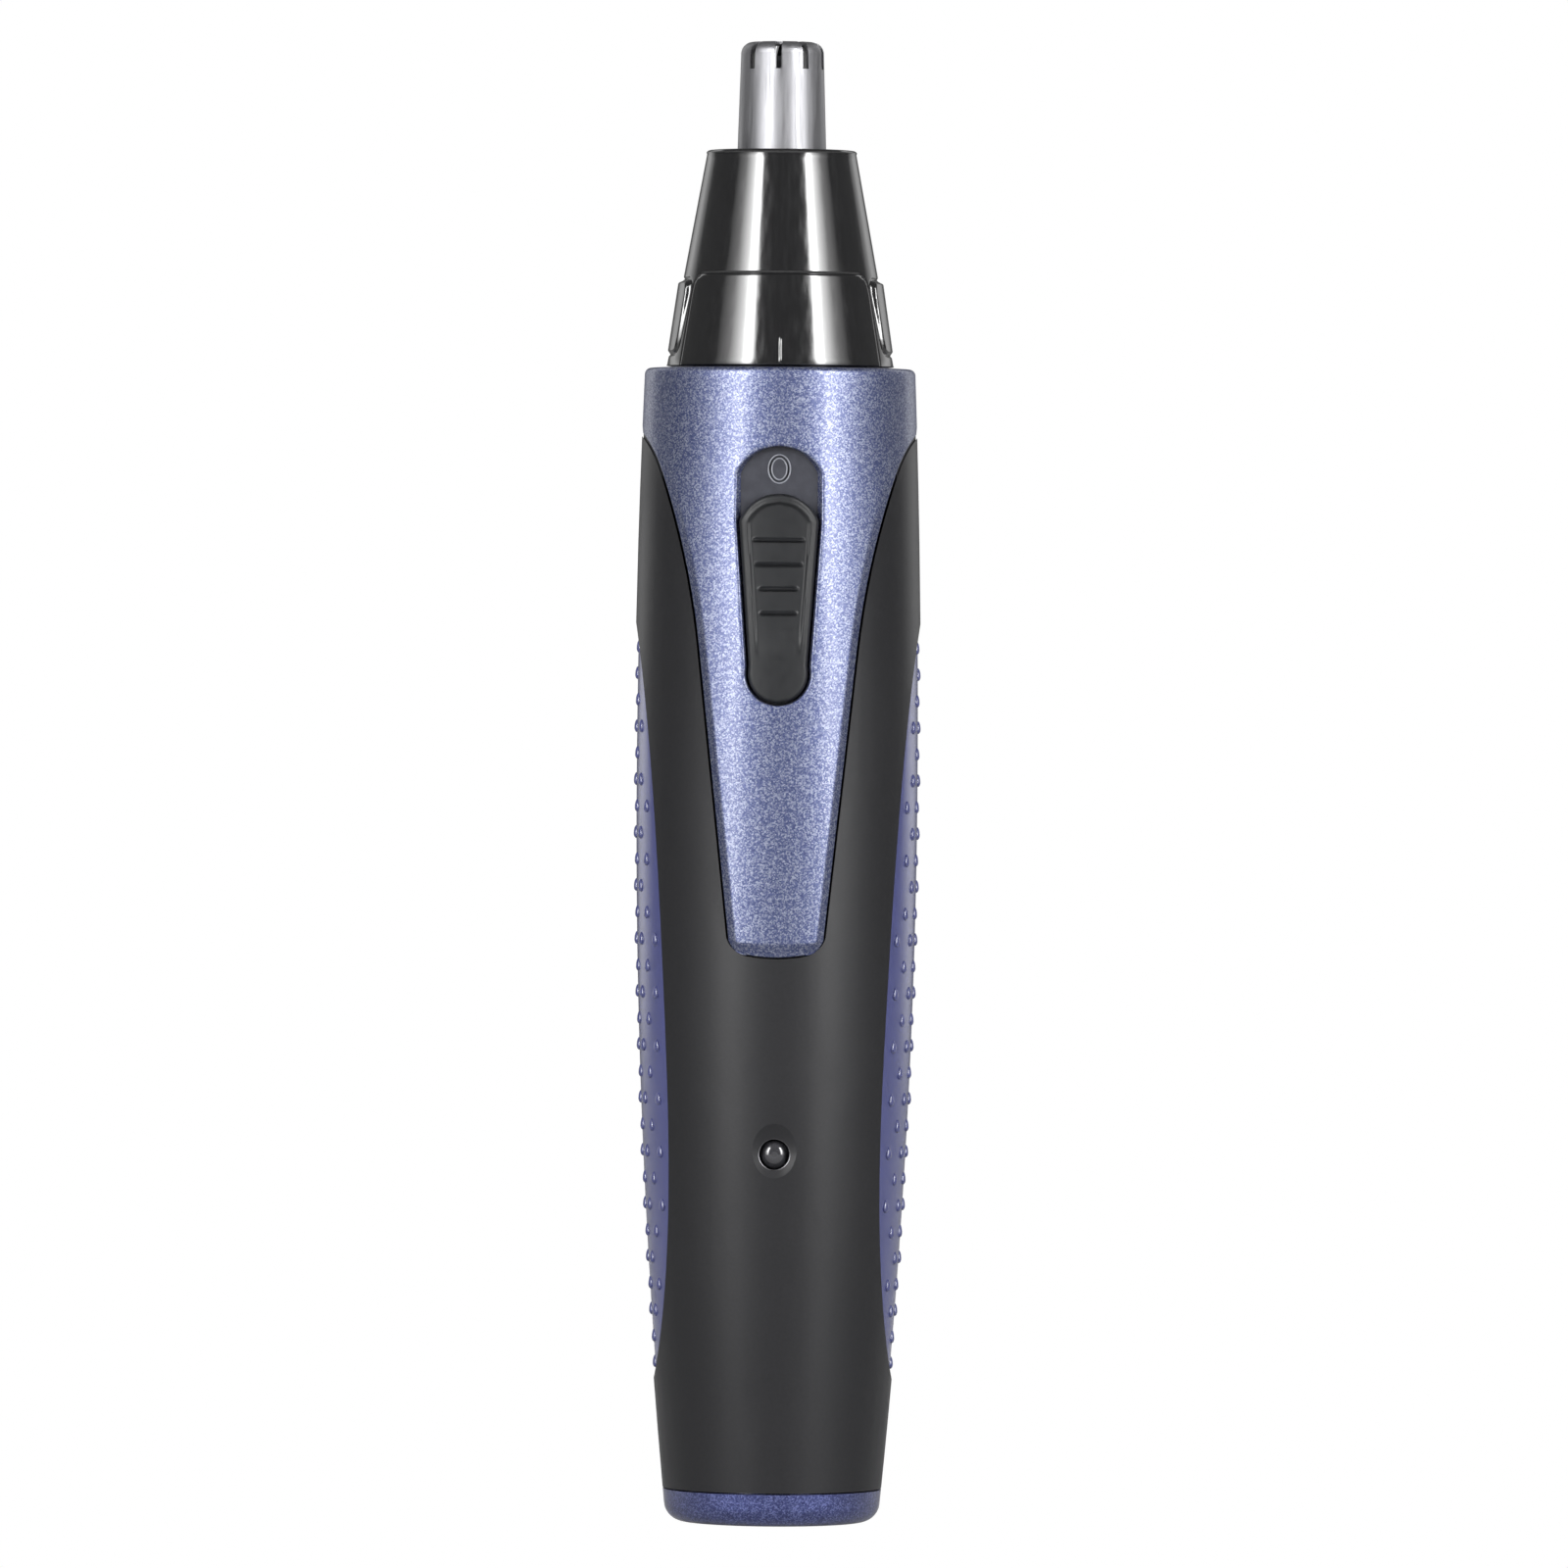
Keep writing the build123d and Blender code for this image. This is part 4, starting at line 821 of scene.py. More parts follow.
# ----------------------------------------------------------------------------------- the grips
@dataclass
class SideGrips:
    """Leaf-shaped elastomer panels with staggered teardrop bumps."""

    low: float = 14.6
    wide_height: float = 48.0
    high: float = 91.0
    half_width: float = 8.6
    fullness: float = 0.66
    bluntness: float = 0.6
    sunk: float = 0.3
    thickness: float = 0.9
    edge_radius: float = 0.32
    bump_half_width: float = 0.5
    bump_tail: float = 0.85
    bump_proud: float = 0.29
    bump_taper: float = 0.45
    bump_root: float = 0.2
    bump_around: int = 14
    bump_rings: int = 4
    bump_margin: float = 1.25
    column_pitch: float = 7.5
    row_pitch: float = 5.37
    first_row: float = 16.0
    columns: int = 11
    rows: int = 15
    curve_steps: int = 44
    inner_steps: int = 7
    spine_margin: float = 4.0
    outline: list[tuple[float, float]] = field(default_factory=list)

    def leaf(self) -> list[tuple[float, float]]:
        """The leaf's closed outline as distances from its middle line and heights.

        Returns:
            The outline's points, without a repeat of the first.
        """
        quarter: dict[float, list[tuple[float, float]]] = {}
        for end in (self.high, self.low):
            rise = end - self.wide_height
            corners = (
                (self.half_width, self.wide_height),
                (self.half_width, self.wide_height + self.fullness * rise),
                (self.bluntness * self.half_width, end),
                (0.0, end),
            )
            quarter[end] = []
            for index in range(self.curve_steps + 1):
                share = index / self.curve_steps
                rest = 1 - share
                weights = (rest**3, 3 * share * rest**2, 3 * share**2 * rest, share**3)
                quarter[end].append(
                    tuple(sum(w * c[axis] for w, c in zip(weights, corners)) for axis in (0, 1))
                )
        right = quarter[self.low][::-1] + quarter[self.high][1:]
        left = [(-across, height) for across, height in right[::-1]]
        return right + left[1:-1]

    def at_side(self, side: int, across: float, height: float, inset: float) -> Point:
        """The point of one grip below the handle's side, at a distance across and a height.

        Args:
            side: -1 for the left grip and 1 for the right one.
            across: The distance from the middle line.
            height: The height above the foot.
            inset: How far inside the handle's side.

        Returns:
            The point in millimetres.
        """
        radius = FORM.side_radius(height, inset)
        return (side * math.sqrt(max(radius * radius - across * across, 0.0)), across, height)

    def panel(self, side: int) -> bpy.types.Object:
        """Builds one panel: a rounded rim, a face that follows the handle, a wall and a back.

        Args:
            side: -1 for the left grip and 1 for the right one.

        Returns:
            The panel with each vertex's distance to the rim in an attribute.
        """
        outline = self.outline
        count = len(outline)
        normals = []
        for index in range(count):
            before, after = outline[index - 1], outline[(index + 1) % count]
            along = (after[0] - before[0], after[1] - before[1])
            length = math.hypot(*along)
            normals.append((along[1] / length, -along[0] / length))
        loops: list[list[Point]] = []
        spine_low, spine_high = self.low + self.spine_margin, self.high - self.spine_margin
        radius = self.edge_radius

        def loop(offset: float, share: float, inset: float) -> list[Point]:
            """One ring of the panel, set in from the outline and drawn towards its middle line.

            Args:
                offset: How far in from the outline.
                share: How far towards the middle line, from 0 to 1.
                inset: How far inside the handle's side.

            Returns:
                The ring's points.
            """
            ring = []
            for (across, height), (nx, nz) in zip(outline, normals):
                across_in, height_in = across - nx * offset, height - nz * offset
                spine = min(max(height_in, spine_low), spine_high)
                height_in += (spine - height_in) * share
                ring.append(self.at_side(side, across_in * (1 - share), height_in, inset))
            return ring

        loops.append(loop(0.0, 1.0, self.sunk + self.thickness))
        loops.append(loop(0.0, 0.5, self.sunk + self.thickness))
        loops.append(loop(0.0, 0.0, self.sunk + self.thickness))
        for part in (0.0, 0.12, 0.3, 0.6, 1.0):
            offset = radius * part
            drop = radius - math.sqrt(radius**2 - (radius - offset) ** 2)
            loops.append(loop(offset, 0.0, self.sunk + drop))
        for index in range(1, self.inner_steps + 1):
            loops.append(loop(radius, index / self.inner_steps, self.sunk))
        points = [point for ring in loops for point in ring]
        name = "left_grip_panel" if side < 0 else "right_grip_panel"
        piece = new_piece(name, points, grid_faces(len(loops), count, wrap=True), sharp=50)
        rim = piece.data.attributes.new("rim_distance", "FLOAT", "POINT")
        for vertex, value in zip(piece.data.vertices, rim.data):
            value.value = edge_distance((vertex.co.y / MM, vertex.co.z / MM), outline[::2]) * MM
        return piece

    def bump(self) -> bpy.types.Object:
        """Builds one teardrop: round below, drawn out to a point above, its back sunk in the panel.

        Returns:
            The teardrop, about the origin.
        """
        around, rings = self.bump_around, self.bump_rings
        points: list[Point] = []
        for ring in range(rings + 1):
            share = math.sin(math.pi / 2 * (ring / rings))
            lift = self.bump_proud * math.cos(math.pi / 2 * ring / rings)
            for column in range(around):
                turn = 2 * math.pi * column / around
                rise = math.sin(turn)
                stretch = self.bump_tail if rise > 0 else self.bump_half_width
                narrow = 1 - self.bump_taper * max(rise, 0.0)
                points.append(
                    (self.bump_half_width * math.cos(turn) * narrow * share, stretch * rise * share, lift)
                )
        back = len(points)
        points += [(x, y, -self.bump_root) for x, y, _ in points[-around:]]
        points.append((0.0, 0.0, -self.bump_root))
        faces = grid_faces(rings + 2, around, wrap=True)
        faces += [(back + column, back + (column + 1) % around, back + around) for column in range(around)]
        return new_piece("teardrop", points, faces, sharp=70)

    def bump_tree(self) -> bpy.types.NodeTree:
        """Builds the tree that sets staggered teardrops on a panel.

        Returns:
            The geometry tree, with its sizes as named inputs.
        """
        tree = bpy.data.node_groups.new("staggered_teardrops", "GeometryNodeTree")
        face = tree.interface
        for name, kind in (
            ("Panel", "Geometry"),
            ("Teardrop", "Object"),
            ("Finish", "Material"),
            ("Columns", "Int"),
            ("Rows", "Int"),
            ("Column pitch", "Float"),
            ("Row pitch", "Float"),
            ("First row", "Float"),
            ("Reach", "Float"),
            ("Margin", "Float"),
        ):
            face.new_socket(name=name, in_out="INPUT", socket_type=f"NodeSocket{kind}")
        face.new_socket(name="Panel", in_out="OUTPUT", socket_type="NodeSocketGeometry")
        values = {socket.name: socket for socket in add_node(tree, "NodeGroupInput").outputs}
        here = add_node(tree, "GeometryNodeInputPosition").outputs[0]
        spot = add_node(tree, "ShaderNodeSeparateXYZ", {0: here}).outputs
        values |= {"across": spot["X"], "up": spot["Y"]}
        # Odd columns stand half a row higher, and the lattice is rolled round the handle's axis.
        for name, operation, first, second in (
            ("column gaps", "SUBTRACT", "Columns", 1.0),
            ("width", "MULTIPLY", "column gaps", "Column pitch"),
            ("row gaps", "SUBTRACT", "Rows", 1.0),
            ("length", "MULTIPLY", "row gaps", "Row pitch"),
            ("column", "DIVIDE", "across", "Column pitch"),
            ("column", "ROUND", "column", 0.0),
            ("column", "ABSOLUTE", "column", 0.0),
            ("odd", "MODULO", "column", 2.0),
            ("stagger", "MULTIPLY", "odd", "Row pitch"),
            ("stagger", "MULTIPLY", "stagger", 0.5),
            ("half length", "MULTIPLY", "length", 0.5),
            ("middle", "ADD", "First row", "half length"),
            ("height", "ADD", "middle", "up"),
            ("height", "ADD", "height", "stagger"),
            ("cosine", "COSINE", "across", 0.0),
            ("x", "MULTIPLY", "cosine", "Reach"),
            ("sine", "SINE", "across", 0.0),
            ("depth", "ABSOLUTE", "Reach", 0.0),
            ("y", "MULTIPLY", "sine", "depth"),
        ):
            terms = {0: values.get(first, first), 1: values.get(second, second)}
            values[name] = add_node(tree, "ShaderNodeMath", terms, operation=operation).outputs[0]
        lattice = add_node(
            tree,
            "GeometryNodeMeshGrid",
            {
                "Size X": values["width"],
                "Size Y": values["length"],
                "Vertices X": values["Columns"],
                "Vertices Y": values["Rows"],
            },
        )
        outside = add_node(
            tree, "ShaderNodeCombineXYZ", {"X": values["x"], "Y": values["y"], "Z": values["height"]}
        )
        wrapped = add_node(
            tree,
            "GeometryNodeSetPosition",
            {"Geometry": lattice.outputs["Mesh"], "Position": outside.outputs[0]},
        )
        inwards = add_node(
            tree,
            "ShaderNodeVectorMath",
            {0: here, 1: (-1.0, -1.0, 0.0)},
            operation="MULTIPLY",
        )
        rim = add_node(tree, "GeometryNodeInputNamedAttribute", {"Name": "rim_distance"}, data_type="FLOAT")
        cast = add_node(
            tree,
            "GeometryNodeRaycast",
            {
                "Target Geometry": values["Panel"],
                "Attribute": rim.outputs["Attribute"],
                "Ray Direction": inwards.outputs[0],
                "Ray Length": 0.05,
            },
            data_type="FLOAT",
        )
        clear = add_node(
            tree,
            "ShaderNodeMath",
            {0: cast.outputs["Attribute"], 1: values["Margin"]},
            operation="GREATER_THAN",
        )
        good = add_node(
            tree, "ShaderNodeMath", {0: clear.outputs[0], 1: cast.outputs["Is Hit"]}, operation="MULTIPLY"
        )
        off = add_node(tree, "ShaderNodeMath", {0: 1.0, 1: good.outputs[0]}, operation="SUBTRACT")
        kept = add_node(
            tree, "GeometryNodeDeleteGeometry", {"Geometry": wrapped.outputs[0], "Selection": off.outputs[0]}
        )
        landed = add_node(
            tree,
            "GeometryNodeSetPosition",
            {"Geometry": kept.outputs[0], "Position": cast.outputs["Hit Position"]},
        )
        outwards = add_node(
            tree,
            "ShaderNodeVectorMath",
            {0: here, 1: (1.0, 1.0, 0.0)},
            operation="MULTIPLY",
        )
        turn = add_node(
            tree,
            "FunctionNodeAxesToRotation",
            {"Primary Axis": outwards.outputs[0], "Secondary Axis": (0.0, 0.0, 1.0)},
            primary_axis="Z",
            secondary_axis="Y",
        )
        drop = add_node(tree, "GeometryNodeObjectInfo", {"Object": values["Teardrop"]})
        placed = add_node(
            tree,
            "GeometryNodeInstanceOnPoints",
            {
                "Points": landed.outputs[0],
                "Instance": drop.outputs["Geometry"],
                "Rotation": turn.outputs[0],
            },
        )
        joined = add_node(tree, "GeometryNodeJoinGeometry")
        tree.links.new(placed.outputs[0], joined.inputs[0])
        tree.links.new(values["Panel"], joined.inputs[0])
        real = add_node(tree, "GeometryNodeRealizeInstances", {"Geometry": joined.outputs[0]})
        covered = add_node(
            tree, "GeometryNodeSetMaterial", {"Geometry": real.outputs[0], "Material": values["Finish"]}
        )
        add_node(tree, "NodeGroupOutput", {"Panel": covered.outputs[0]})
        return tree

    def build(self, palette: Palette) -> None:
        """Builds both grips with their bumps and hides the plain CAD panels.

        Args:
            palette: The trimmer's finishes.
        """
        self.outline = self.leaf()
        drop = self.bump()
        tree = self.bump_tree()
        for side, node in ((-1, "left_grip"), (1, "right_grip")):
            panel = self.panel(side)
            apply_tree(
                panel,
                tree,
                {
                    "Teardrop": drop,
                    "Finish": palette.materials["violet_elastomer"],
                    "Columns": self.columns,
                    "Rows": self.rows,
                    "Column pitch": math.radians(self.column_pitch),
                    "Row pitch": self.row_pitch * MM,
                    "First row": self.first_row * MM,
                    "Reach": side * 2 * FORM.belly_radius * MM,
                    "Margin": self.bump_margin * MM,
                },
            )
            palette.cover(panel, "violet_elastomer")
            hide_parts(node)
            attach(panel, "handle")
            LOG.info("built %s with %d faces", panel.name, len(panel.data.polygons))
        bpy.data.objects.remove(drop)


def apply_tree(piece: bpy.types.Object, tree: bpy.types.NodeTree, values: dict[str, object]) -> None:
    """Runs a geometry tree on a piece and keeps the result as its plain mesh.

    Args:
        piece: The piece.
        tree: The geometry tree.
        values: The tree's inputs by name.
    """
    modifier = piece.modifiers.new("build", "NODES")
    modifier.node_group = tree
    for item in tree.interface.items_tree:
        if item.item_type == "SOCKET" and item.in_out == "INPUT" and item.name in values:
            modifier[item.identifier] = values[item.name]
    bpy.context.view_layer.update()
    seen = piece.evaluated_get(bpy.context.evaluated_depsgraph_get())
    mesh = bpy.data.meshes.new_from_object(seen)
    piece.modifiers.clear()
    piece.data = mesh


# ---------------------------------------------------------------------------------- the sleeve
@dataclass
class TopSleeve:
    """The painted sleeve: a collar with a front and a rear tongue, their fields raised on a bevel."""

    wall: float = 1.25
    end: float = 57.5
    end_half_width: float = 4.85
    end_corner: float = 2.0
    end_bow: float = 0.25
    bow_half_width: float = 2.85
    waist: tuple[float, float] = (8.0, 88.5)
    shoulder: tuple[float, float] = (11.95, 106.5)
    collar: float = 110.3
    proud: float = 0.5
    bevel: float = 0.85
    end_bevel: float = 1.35
    bevel_start: float = 0.1
    bevel_straight: float = 0.6
    edge_reach: float = 1.0
    fade_height: float = 108.0
    edge_radius: float = 0.16
    slot_edge_radius: float = 0.24
    rim_radius: float = 0.6
    deck_low: float = 115.6
    deck_bore: float = 8.9
    slot_low: float = 82.8
    slot_high: float = 108.9
    slot_half_width: float = 4.26
    slot_shoulder: float = 106.15
    slot_waist: float = 101.35
    slot_knee: float = 86.7
    slot_knee_half_width: float = 3.2
    pocket_face: float = 12.93
    pocket_half_width: float = 4.66
    pocket_low: float = 81.4
    pocket_high: float = 110.3
    # How close the mesh's columns stand to the slot's edge and to the outline.
    SLOT_GAPS: ClassVar[tuple[float, ...]] = (0.0, 0.04, 0.09, 0.15, 0.24, 0.4)
    RIM_GAPS: ClassVar[tuple[float, ...]] = (1.3, 1.1, 0.95, 0.75, 0.5, 0.3, 0.16, 0.09, 0.04, 0.0)
    FIELD_COLUMNS: ClassVar[int] = 12
    outline: list[tuple[float, float]] = field(default_factory=list)
    slot: list[tuple[float, float]] = field(default_factory=list)

    @staticmethod
    def bend(
        start: tuple[float, float], stop: tuple[float, float], slope: float
    ) -> tuple[float, float, float]:
        """The circle that leaves a point along a slope and passes another point.

        Args:
            start: The first point, across and up.
            stop: The point that it reaches.
            slope: Across per unit up at the first point.

        Returns:
            The circle's middle, across and up, and its radius.
        """
        size = math.hypot(slope, 1.0)
        side = (1 / size, -slope / size)
        run = (stop[0] - start[0], stop[1] - start[1])
        radius = (run[0] ** 2 + run[1] ** 2) / (2 * (run[0] * side[0] + run[1] * side[1]))
        return (start[0] + side[0] * radius, start[1] + side[1] * radius, radius)

    def half_width(self, height: float) -> float:
        """Half the sleeve's width at a height, as seen from the front.

        Args:
            height: The height above the foot.

        Returns:
            Half the width in millimetres.
        """
        corner_top = self.end + self.end_corner
        if height <= corner_top:
            drop = corner_top - height
            across = math.sqrt(max(self.end_corner**2 - drop**2, 0.0))
            return self.end_half_width - self.end_corner + across
        slope = (self.waist[0] - self.end_half_width) / (self.waist[1] - corner_top)
        if height <= self.waist[1]:
            return self.end_half_width + slope * (height - corner_top)
        middle = self.bend(self.waist, self.shoulder, slope)
        if height > self.shoulder[1]:
            rise = self.shoulder[1] - middle[1]
            slope = rise / (middle[0] - self.shoulder[0])
            middle = self.bend(self.shoulder, (FORM.side_radius(self.collar), self.collar), slope)
        if height >= self.collar:
            return FORM.side_radius(height)
        across = middle[0] - math.sqrt(max(middle[2] ** 2 - (height - middle[1]) ** 2, 0.0))
        return min(across, FORM.side_radius(height))

    def slot_width(self, height: float) -> float:
        """Half the switch slot's width at a height, or 0 past its ends.

        Args:
            height: The height above the foot.

        Returns:
            Half the width in millimetres.
        """
        if not self.slot_low < height < self.slot_high:
            return 0.0
        if height > self.slot_shoulder or height < self.slot_knee:
            wide, end = (
                (self.slot_half_width, self.slot_high - self.slot_shoulder)
                if height > self.slot_shoulder
                else (self.slot_knee_half_width, self.slot_knee - self.slot_low)
            )
            radius = (wide**2 + end**2) / (2 * end)
            tip = self.slot_high - height if height > self.slot_shoulder else height - self.slot_low
            return math.sqrt(max(radius**2 - (radius - tip) ** 2, 0.0))
        if height >= self.slot_waist:
            return self.slot_half_width
        share = (height - self.slot_knee) / (self.slot_waist - self.slot_knee)
        return self.slot_knee_half_width + (self.slot_half_width - self.slot_knee_half_width) * share

    def field_lift(self, height: float) -> float:
        """How proud the raised field stands at a height.

        Args:
            height: The height above the foot.

        Returns:
            Millimetres beyond the handle's own side.
        """
        if height <= FORM.belly_height:
            return self.proud
        if height >= self.fade_height:
            return 0.0
        top = FORM.belly_radius + self.proud
        rise = self.fade_height - FORM.belly_height
        shrink = top - FORM.side_radius(self.fade_height)
        arc = (shrink**2 + rise**2) / (2 * shrink)
        out = top - arc + math.sqrt(arc**2 - (height - FORM.belly_height) ** 2)
        return max(out - FORM.side_radius(height), 0.0)

    @staticmethod
    def rounding(radius: float, distance: float) -> float:
        """How far a rounded edge falls away at a distance from it.

        Args:
            radius: The rounding's radius.
            distance: The distance from the edge.

        Returns:
            The drop in millimetres.
        """
        if distance >= radius:
            return 0.0
        return radius - math.sqrt(radius**2 - (radius - distance) ** 2)

    def outer_radius(self, across: float, height: float, front: bool) -> float:
        """The sleeve's outer radius.

        Args:
            across: The distance from the middle line.
            height: The height above the foot.
            front: Whether the slot's edge counts.

        Returns:
            The radius in millimetres.
        """
        rim = edge_distance((across, height), self.outline)
        from_end = height - self.end - self.bevel_start
        share = min((rim - self.bevel_start) / self.bevel, from_end / self.end_bevel)
        share = min(max(share, 0.0), 1.0)
        share = self.bevel_straight * share + (1 - self.bevel_straight) * smoothstep(0, 1, share)
        radius = FORM.side_radius(height) + self.field_lift(height) * share
        if height < self.collar + self.edge_reach:
            radius -= self.rounding(self.edge_radius, rim)
        if front and self.slot_low - self.edge_reach < height < self.slot_high + self.edge_reach:
            radius -= self.rounding(self.slot_edge_radius, edge_distance((across, height), self.slot))
        rim_low = FORM.rim_height - self.rim_radius
        if height > rim_low:
            radius -= self.rim_radius - math.sqrt(max(self.rim_radius**2 - (height - rim_low) ** 2, 0.0))
        return radius

    def levels(self) -> list[float]:
        """Rows of the mesh: close together where the outline or the slot turns.

        Returns:
            The heights above the foot.
        """
        rim_low = FORM.rim_height - self.rim_radius
        foot, head = self.slot_knee - self.slot_low, self.slot_high - self.slot_shoulder
        return merged(
            [self.end, self.slot_low, self.slot_high, self.collar, self.deck_low],
            [self.end + self.end_corner * (1 - math.cos(math.pi / 2 * i / 12)) for i in range(13)],
            steps(self.end, self.end + 2, 0.16),
            steps(self.end + 2, self.slot_low - 0.5, 1.1),
            [self.slot_low + foot * (1 - math.cos(math.pi / 2 * i / 14)) for i in range(15)],
            steps(self.slot_low - 0.5, self.slot_low, 0.12),
            steps(self.slot_knee, self.slot_waist, 0.9),
            steps(self.slot_waist, self.slot_shoulder, 0.6),
            [self.slot_high - head * (1 - math.cos(math.pi / 2 * i / 14)) for i in range(15)],
            steps(self.slot_high, self.slot_high + 0.4, 0.1),
            steps(self.shoulder[1], self.collar, 0.22),
            steps(self.collar, rim_low, 0.8),
            [rim_low + self.rim_radius * math.sin(math.pi / 2 * i / 7) for i in range(8)],
            gap=0.012,
        )

    def columns(self, inner: float, outer: float) -> list[float]:
        """Distances across from the slot's edge to the outline, close together at both.

        Args:
            inner: The slot's edge.
            outer: The outline.

        Returns:
            The distances from the middle line.
        """
        near = [inner + gap for gap in self.SLOT_GAPS]
        far = [outer - gap for gap in self.RIM_GAPS]
        count = self.FIELD_COLUMNS
        middle = [near[-1] + (far[0] - near[-1]) * index / count for index in range(1, count)]
        return near + middle + far

    def build(self, palette: Palette) -> None:
        """Builds the sleeve from four quarters that meet at the middle and, on the collar, at the sides.

        Args:
            palette: The trimmer's finishes.
        """
        side = [(self.half_width(height), height) for height in steps(self.end, self.collar, 0.5)]
        # The outline goes round the empty corner beside the tongue, so only real edges are near.
        outer, below = FORM.side_radius(self.collar) + 2, self.end - 3
        self.outline = [(0.0, self.end), *side, (outer, self.collar), (outer, below), (0.0, below)]
        right = [(self.slot_width(height), height) for height in steps(self.slot_low, self.slot_high, 0.3)]
        self.slot = right + [(-across, height) for across, height in right[::-1]]
        levels = self.levels()
        inner_levels = [height for height in levels if height <= self.deck_low + 1e-6]
        points: list[Point] = []
        faces: list[Face] = []
        for front in (True, False):
            rows: list[list[tuple[float, float, float]]] = []
            for height in levels:
                inner = self.slot_width(height) if front else 0.0
                row = []
                for across in self.columns(inner, self.half_width(height)):
                    angle = math.asin(min(across / FORM.side_radius(height), 1.0))
                    near_end = smoothstep(self.end + self.end_corner, self.end, height)
                    bow = self.end_bow * (across / self.bow_half_width) ** 2 * near_end
                    radius = self.outer_radius(across, height, front)
                    row.append((radius, angle, height + min(bow, self.end_bow)))
                rows.append(row)
            width = len(rows[0])
            for mirror in (1, -1):
                facing = -1 if front else 1

                def put(radius: float, angle: float, height: float) -> Point:
                    """A point of this quarter."""
                    return (mirror * radius * math.sin(angle), facing * radius * math.cos(angle), height)

                first = len(points)
                for row in rows:
                    points += [put(*spot) for spot in row]
                for radius, height in ((self.deck_bore, FORM.rim_height), (self.deck_bore, self.deck_low)):
                    points += [put(radius, angle, height) for _, angle, _ in rows[-1]]
                for row, level in zip(rows[: len(inner_levels)][::-1], inner_levels[::-1]):
                    for _, angle, height in row:
                        radius = FORM.side_radius(level) - self.wall
                        x, y, z = put(radius, angle, height)
                        beside = abs(x) < self.pocket_half_width
                        if front and beside and self.pocket_low < z < self.pocket_high:
                            y = min(y, -self.pocket_face)
                        points.append((x, y, z))
                total = len(rows) + 2 + len(inner_levels)
                faces += grid_faces(total, width, first=first)
                last = first + (total - 1) * width
                for column in range(width - 1):
                    faces.append((first + column, first + column + 1, last + column + 1, last + column))
                for index in range(len(inner_levels) - 1):
                    here, above = first + index * width, first + (index + 1) * width
                    within = last - index * width
                    if inner_levels[index + 1] <= self.collar + 1e-6:
                        edge = width - 1
                        faces.append((here + edge, above + edge, within - width + edge, within + edge))
                    if front and self.slot_low <= inner_levels[index] < self.slot_high:
                        faces.append((here, above, within - width, within))
        sleeve = new_piece("painted_sleeve", points, faces, sharp=50)
        palette.cover(sleeve, "blue_flake_paint")
        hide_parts("top_sleeve")
        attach(sleeve, "handle")
        LOG.info("built %s with %d faces", sleeve.name, len(sleeve.data.polygons))


